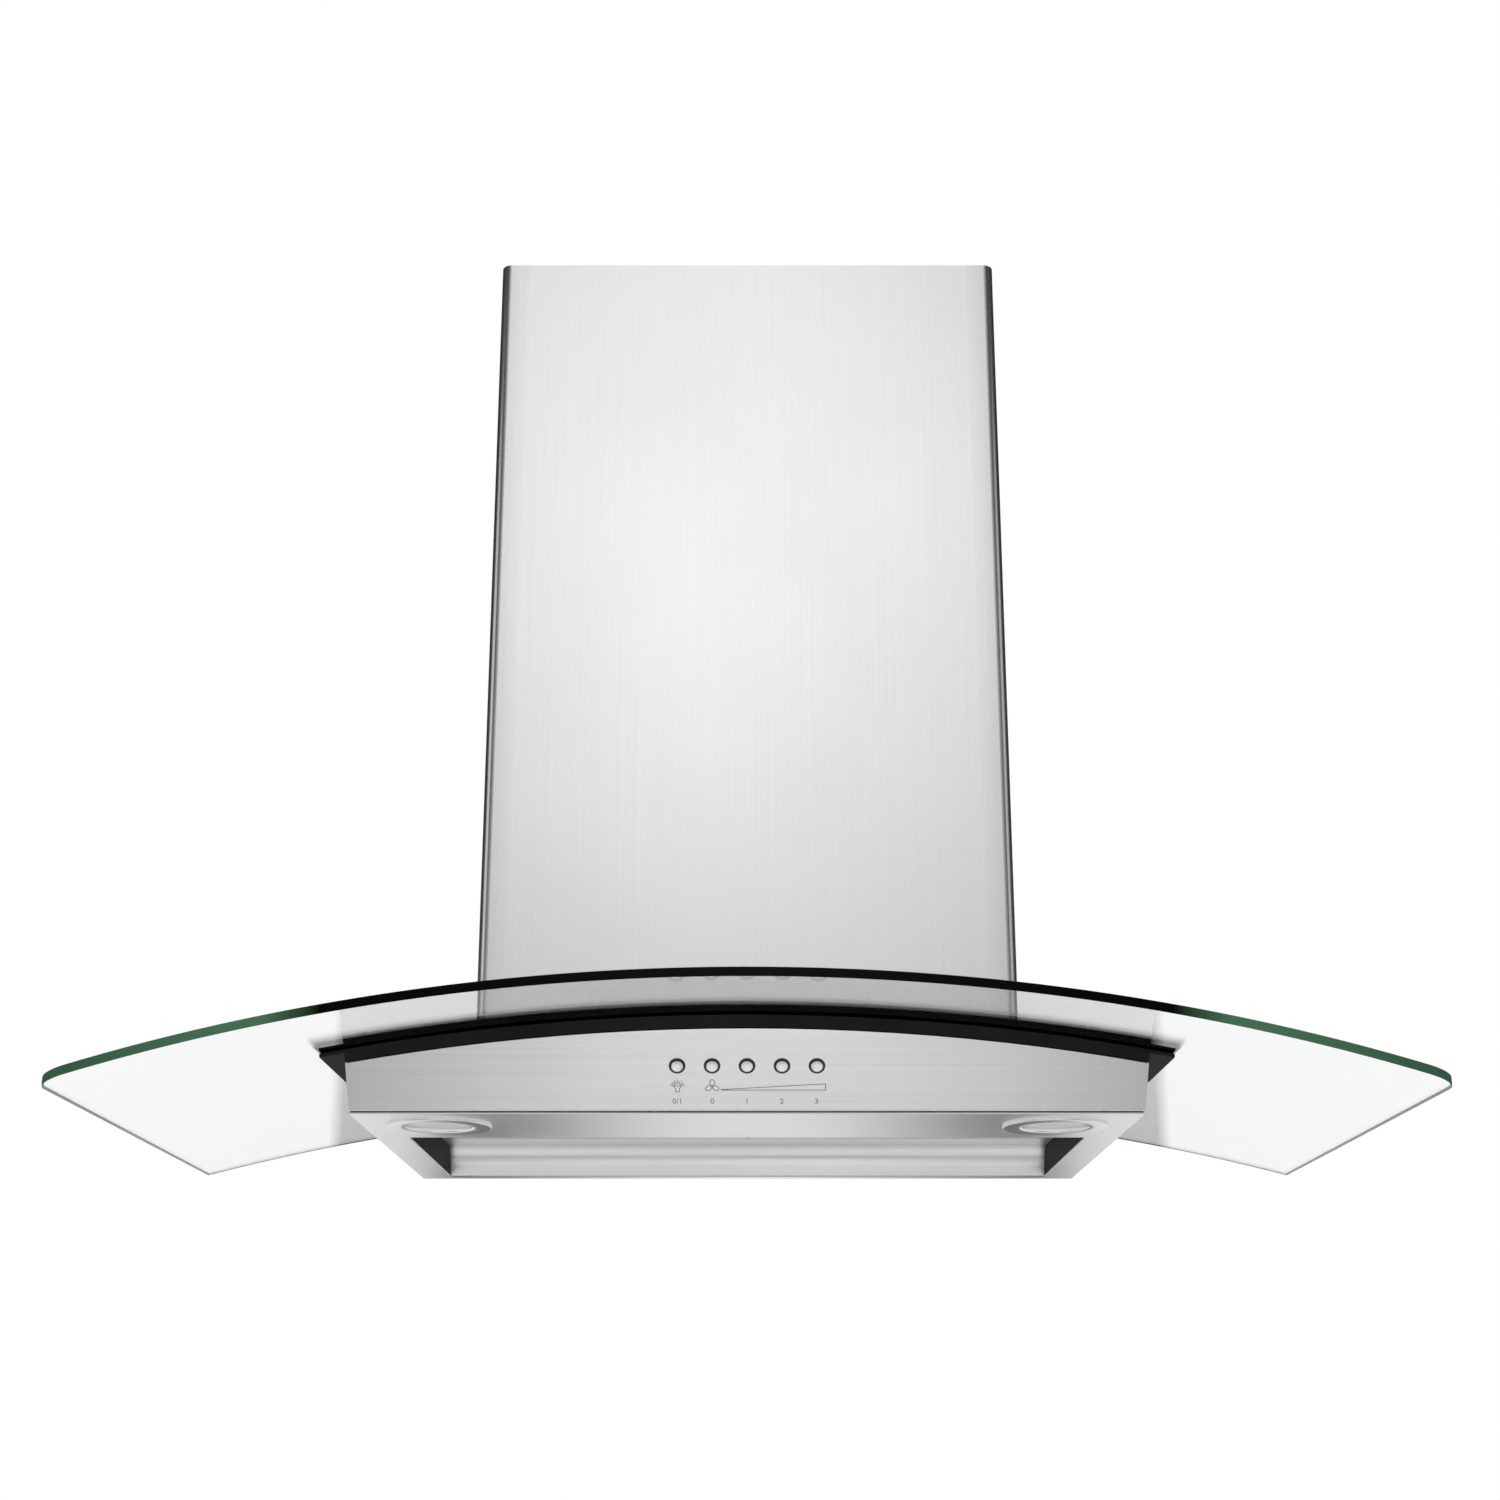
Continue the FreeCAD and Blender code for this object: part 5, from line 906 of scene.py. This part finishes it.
work = bmesh.new()
cut_edges = add_loop(work, outline)
for side in (-1, 1):
    for row in (-1, 0, 1):
        hole_y = -CLAMP_MIDDLE - row * CLAMP_STEP
        cut_edges += add_loop(work, ring_line(side * CLAMP_ACROSS, hole_y, CLAMP_HOLE, CLAMP_HOLE))
bmesh.ops.triangle_fill(work, edges=cut_edges, use_beauty=True, normal=(0, 0, 1))
for number in range(-SLICES_EACH_SIDE, SLICES_EACH_SIDE + 1):
    everything = work.verts[:] + work.edges[:] + work.faces[:]
    slice_at = (number * SLICE, 0, 0)
    bmesh.ops.bisect_plane(work, geom=everything, plane_co=slice_at, plane_no=(1, 0, 0), dist=1e-6)
thicken(work, GLASS_THICK)
rim = []
for face in work.faces:
    middle = face.calc_center_median()
    outer = abs(middle.x) > GLASS_HALF - 0.0001 or middle.y < corner_y + 0.001
    if abs(face.normal.z) < 0.5 and outer and middle.y < -0.0001:
        rim += [edge for edge in face.edges if abs(edge.verts[0].co.z - edge.verts[1].co.z) < 1e-6]
bmesh.ops.bevel(
    work, geom=list(set(rim)), offset=EDGE_ROUNDING, offset_type="OFFSET", segments=3, profile=0.5,
    affect="EDGES", clamp_overlap=True)
work.normal_update()
edge_mark = work.faces.layers.float.new("edge")
for face in work.faces:
    face[edge_mark] = float(abs(face.normal.z) < 0.98)
glass_flat = bpy.data.meshes.new("glass_flat")
work.to_mesh(glass_flat)
work.free()

# A black border is fired onto the glass along the front of its seat and fades out forwards. Its places
# are measured from the foot of the leaning panel, in the panel's own plane.
BORDER_HALF, BORDER_SIDE_FADE = 0.2874, 0.0006
BORDER_START, BORDER_FULL = -0.044, -0.016
BORDER_BACK = (0.028, 0.030)
glass, tree, shader = new_material("tempered_glass")
shader.inputs["Transmission Weight"].default_value = 1.0
shader.inputs["IOR"].default_value = 1.5
smear = grains(tree, 6, 4)
axes = axes_of(tree, scaled_place(tree, (1, 1, 1)))
over_underside = math_node(tree, "SUBTRACT", axes["Z"], underside)
past_foot = math_node(tree, "SUBTRACT", axes["Y"], panel_foot.y)
on_panel = math_node(tree, "MULTIPLY_ADD", over_underside, math.tan(PANEL_LEAN), past_foot)
in_depth = band(tree, on_panel, BORDER_START, BORDER_FULL, *BORDER_BACK)
from_middle = math_node(tree, "ABSOLUTE", axes["X"])
in_width = mapped(tree, from_middle, 1, 0, BORDER_HALF, BORDER_HALF + BORDER_SIDE_FADE)
border = math_node(tree, "MULTIPLY", in_depth, in_width)
clear = mix_colours(tree, smear, (0.985, 0.995, 0.99), (0.975, 0.985, 0.98))
wire(tree, mix_colours(tree, border, clear, (0.0, 0.0, 0.0)), shader.inputs["Base Color"])
wire(tree, mapped(tree, smear, 0.0, 0.03, 0.35, 0.75), shader.inputs["Roughness"])

# The edge is painted black where the dark seat lies behind the glass, in place of the seat seen through it;
# elsewhere it is the glass's own green.
PAINTED_SEAT_FADE, FRONT_FADE, GREEN_FADE = (0.265, 0.302), (-0.44, -0.42), (0.33, 0.45)
ground_edge, tree, shader = new_material("ground_glass_edge")
shader.inputs["Specular IOR Level"].default_value = 0.08
axes = axes_of(tree, scaled_place(tree, (1, 1, 1)))
from_middle = math_node(tree, "ABSOLUTE", axes["X"])
in_front = mapped(tree, axes["Y"], 1, 0, *FRONT_FADE)
painted_seat_black = math_node(tree, "MULTIPLY", mapped(tree, from_middle, 1, 0, *PAINTED_SEAT_FADE), in_front)
deeper = mapped(tree, from_middle, 0, 1, *GREEN_FADE)
green = mix_colours(tree, deeper, (0.060, 0.155, 0.085), (0.030, 0.090, 0.055))
wire(tree, mix_colours(tree, painted_seat_black, green, (0.001, 0.001, 0.001)), shader.inputs["Base Color"])
grinding = grains(tree, 2200, 2)
wire(tree, mapped(tree, grinding, 0.12, 0.22), shader.inputs["Roughness"])
relief(tree, shader, grinding, 0.000005)

bending, given, tree_end = geometry_tree(
    "bend_over_one_axis", ("Float", "Bend Radius", BEND_RADIUS), ("Float", "Crown", 0.0),
)
spot = bending.nodes.new("GeometryNodeInputPosition")
axes = axes_of(bending, spot.outputs[0])
own_radius = math_node(bending, "ADD", given["Bend Radius"], axes["Z"])
squares = [math_node(bending, "MULTIPLY", length, length) for length in (own_radius, axes["X"])]
rise = math_node(bending, "SQRT", math_node(bending, "SUBTRACT", *squares))
centre_height = math_node(bending, "SUBTRACT", given["Crown"], given["Bend Radius"])
height = math_node(bending, "ADD", rise, centre_height)
bent = add_node(
    bending, "GeometryNodeSetPosition", Geometry=given["Geometry"],
    Position=vector_of(bending, axes["X"], axes["Y"], height))
marked = add_node(bending, "GeometryNodeInputNamedAttribute", Name="edge")
is_edge = math_node(bending, "GREATER_THAN", marked.outputs["Attribute"], 0.5)
end_tree(bending, bent.outputs[0], tree_end, glass, is_edge, ground_edge)
glass_mesh = run_tree("bent_glass", glass_flat, bending, Bend_Radius=BEND_RADIUS, Crown=underside + CROWN)
glass_mesh.shade_smooth()
glass_mesh.set_sharp_from_angle(angle=math.radians(12))
add_piece("bent_glass", glass_mesh, "hood", "glass", "glass_canopy")


# ---- Clamps and screws -------------------------------------------------------------------------
# Two steel strips hold the glass down on its seat with socket screws square to the glass, and small
# pan-head screws fix the blower casing to its deck and the duct collar to the casing.

zinc, tree, shader = new_material("bright_zinc", 1.0)
tarnish = grains(tree, 420, 3)
colour_and_polish(tree, shader, tarnish, (0.66, 0.68, 0.72), (0.50, 0.51, 0.50), 0.20, 0.38)

screw_rows, given, tree_end = geometry_tree(
    "screw_rows",
    ("Vector", "Centre", (0.0, 0.0, 0.0)),
    ("Float", "Across", 0.1),
    ("Float", "Along", 0.1),
    ("Int", "Rows", 2),
    ("Float", "Lean", 0.0),
)
places = add_node(
    screw_rows, "GeometryNodeMeshGrid", Size_X=given["Across"], Size_Y=given["Along"], Vertices_X=2,
    Vertices_Y=given["Rows"])
spot = screw_rows.nodes.new("GeometryNodeInputPosition")
side = math_node(screw_rows, "SIGN", axes_of(screw_rows, spot.outputs[0])["X"])
lean = math_node(screw_rows, "MULTIPLY", side, given["Lean"])
screws = add_node(
    screw_rows, "GeometryNodeInstanceOnPoints", Points=places.outputs["Mesh"], Instance=given["Geometry"],
    Rotation=vector_of(screw_rows, 0.0, lean, 0.0))
set_out = add_node(
    screw_rows, "GeometryNodeTransform", Geometry=screws.outputs[0], Translation=given["Centre"])
end_tree(screw_rows, set_out.outputs[0], tree_end, zinc)

SOCKET_SCREW = (
    (0, 1.3), (2.0, 1.3), (2.0, 2.8), (2.3, 3.0), (5.1, 3.0), (5.5, 2.5), (5.5, 0), (2.5, 0), (2.5, -16.8),
    (2.2, -17.1), (0, -17.1),
)
PAN_SCREW = (
    (0, 1.0), (0.7, 1.0), (0.9, 2.35), (1.8, 2.25), (2.8, 1.9), (3.5, 1.3), (3.8, 0.6), (3.8, 0), (2.0, 0),
    (2.0, -4.0), (1.6, -4.5), (0, -4.5),
)
CLAMP_RISE = 0.0027
tilt = math.asin(CLAMP_ACROSS / (BEND_RADIUS + GLASS_THICK))
seat_radius = BEND_RADIUS + GLASS_THICK + CLAMP_RISE
socket = turned_mesh("socket_screw", SOCKET_SCREW, 32, Matrix(), zinc)
clamp_screws = run_tree(
    "clamp_screws", socket, screw_rows, Rows=3, Lean=tilt, Across=2 * seat_radius * math.sin(tilt),
    Along=2 * CLAMP_STEP,
    Centre=(0, -CLAMP_MIDDLE, underside + CROWN - BEND_RADIUS + seat_radius * math.cos(tilt)))
add_piece("clamp_screws", clamp_screws, "hood", "fastener_steel", "glass_clamp_screws")

screw_low, screw_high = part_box("sheet_screws")
pan_head = turned_mesh("pan_screw", PAN_SCREW, 28, Matrix(), zinc)
FOOT_ROWS, FOOT_PITCH, HEAD = 3, 0.085, 0.0038
COLLAR_SPAN, SHEET = 0.148, 0.001
casing_low, casing_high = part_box("blower_casing")
foot_screws = run_tree(
    "foot_screws", pan_head.copy(), screw_rows, Rows=FOOT_ROWS, Along=(FOOT_ROWS - 1) * FOOT_PITCH,
    Across=screw_high.x - screw_low.x - 2 * HEAD,
    Centre=(0, (casing_low.y + casing_high.y) / 2, casing_low.z + SHEET))
collar_low, collar_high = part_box("duct_collar")
collar_screws = run_tree(
    "collar_screws", pan_head.copy(), screw_rows, Rows=2, Along=COLLAR_SPAN, Across=COLLAR_SPAN,
    Centre=(0, (collar_low.y + collar_high.y) / 2, collar_low.z + SHEET))
work = bmesh.new()
work.from_mesh(foot_screws)
work.from_mesh(collar_screws)
all_screws = bpy.data.meshes.new("pan_screws")
work.to_mesh(all_screws)
work.free()
all_screws.materials.append(zinc)
add_piece("pan_screws", all_screws, "hood", "fastener_steel", "sheet_screws")
dress(zinc, "motor_shaft")


# ---- Chimney covers ----------------------------------------------------------------------------
# The lower cover is one sheet, brushed up and down, folded round two upright edges and turned in at
# the wall. It stands on the glass, and the upper cover slides up out of it to the ceiling.

chimney_steel = brushed_metal(
    "brushed_chimney_steel", (1400, 1400, 7), (0.80, 0.80, 0.795), (0.77, 0.77, 0.77), 0.23, 0.26, 0.00001)
COVER_GAUGE, COVER_BEND, COVER_TURN_IN = 0.001, 0.008, 0.015
COVER_GAP = 0.0003
BEND_STEPS, FACE_STEPS = 16, 24


def cover_line(half, front, inset):
    """Plan of the cover's sheet, from one turned-in edge round to the other, at an inset."""
    side, face, bend = half - inset, front + inset, COVER_BEND - inset
    line = [(-half + COVER_TURN_IN, -inset), (-side, -inset)]
    for step in range(BEND_STEPS + 1):
        turn = math.pi + math.pi / 2 * step / BEND_STEPS
        line.append((-side + bend + bend * math.cos(turn), face + bend + bend * math.sin(turn)))
    for step in range(1, FACE_STEPS):
        line.append(((-1 + 2 * step / FACE_STEPS) * (side - bend), face))
    for step in range(BEND_STEPS + 1):
        turn = -math.pi / 2 + math.pi / 2 * step / BEND_STEPS
        line.append((side - bend + bend * math.cos(turn), face + bend + bend * math.sin(turn)))
    return line + [(side, -inset), (half - COVER_TURN_IN, -inset)]


cover_low, cover_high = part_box("chimney_lower")
outside = cover_line(cover_high.x, cover_low.y, 0.0)
inside = cover_line(cover_high.x, cover_low.y, COVER_GAUGE)
around_sheet = outside + inside[::-1]
work = bmesh.new()
foot_radius = BEND_RADIUS + GLASS_THICK + COVER_GAP
feet, tops = [], []
for x, y in around_sheet:
    foot = underside + CROWN - BEND_RADIUS + math.sqrt(foot_radius ** 2 - x ** 2)
    feet.append(work.verts.new((x, y, foot)))
    tops.append(work.verts.new((x, y, cover_high.z)))
count = len(around_sheet)
for number in range(count):
    after = (number + 1) % count
    work.faces.new((feet[number], feet[after], tops[after], tops[number]))
for number in range(len(outside) - 1):
    opposite = count - 1 - number
    work.faces.new((feet[number], feet[opposite], feet[opposite - 1], feet[number + 1]))
    work.faces.new((tops[number], tops[number + 1], tops[opposite - 1], tops[opposite]))
bmesh.ops.recalc_face_normals(work, faces=work.faces)
cover_mesh = bpy.data.meshes.new("lower_cover")
work.to_mesh(cover_mesh)
work.free()
cover_mesh.materials.append(chimney_steel)
cover_mesh.shade_smooth()
cover_mesh.set_sharp_from_angle(angle=math.radians(30))
add_piece("lower_cover", cover_mesh, "hood", "stainless_steel", "chimney_lower")
dress(chimney_steel, "chimney_upper")


# ---- Motor and its parts -----------------------------------------------------------------------
# The impeller is folded from thin aluminium strip and turns in the scroll on the motor's shaft. The
# motor's capacitor is an aluminium can in a clip on the blower casing.

dress(aluminium, "impeller", "motor_capacitor")
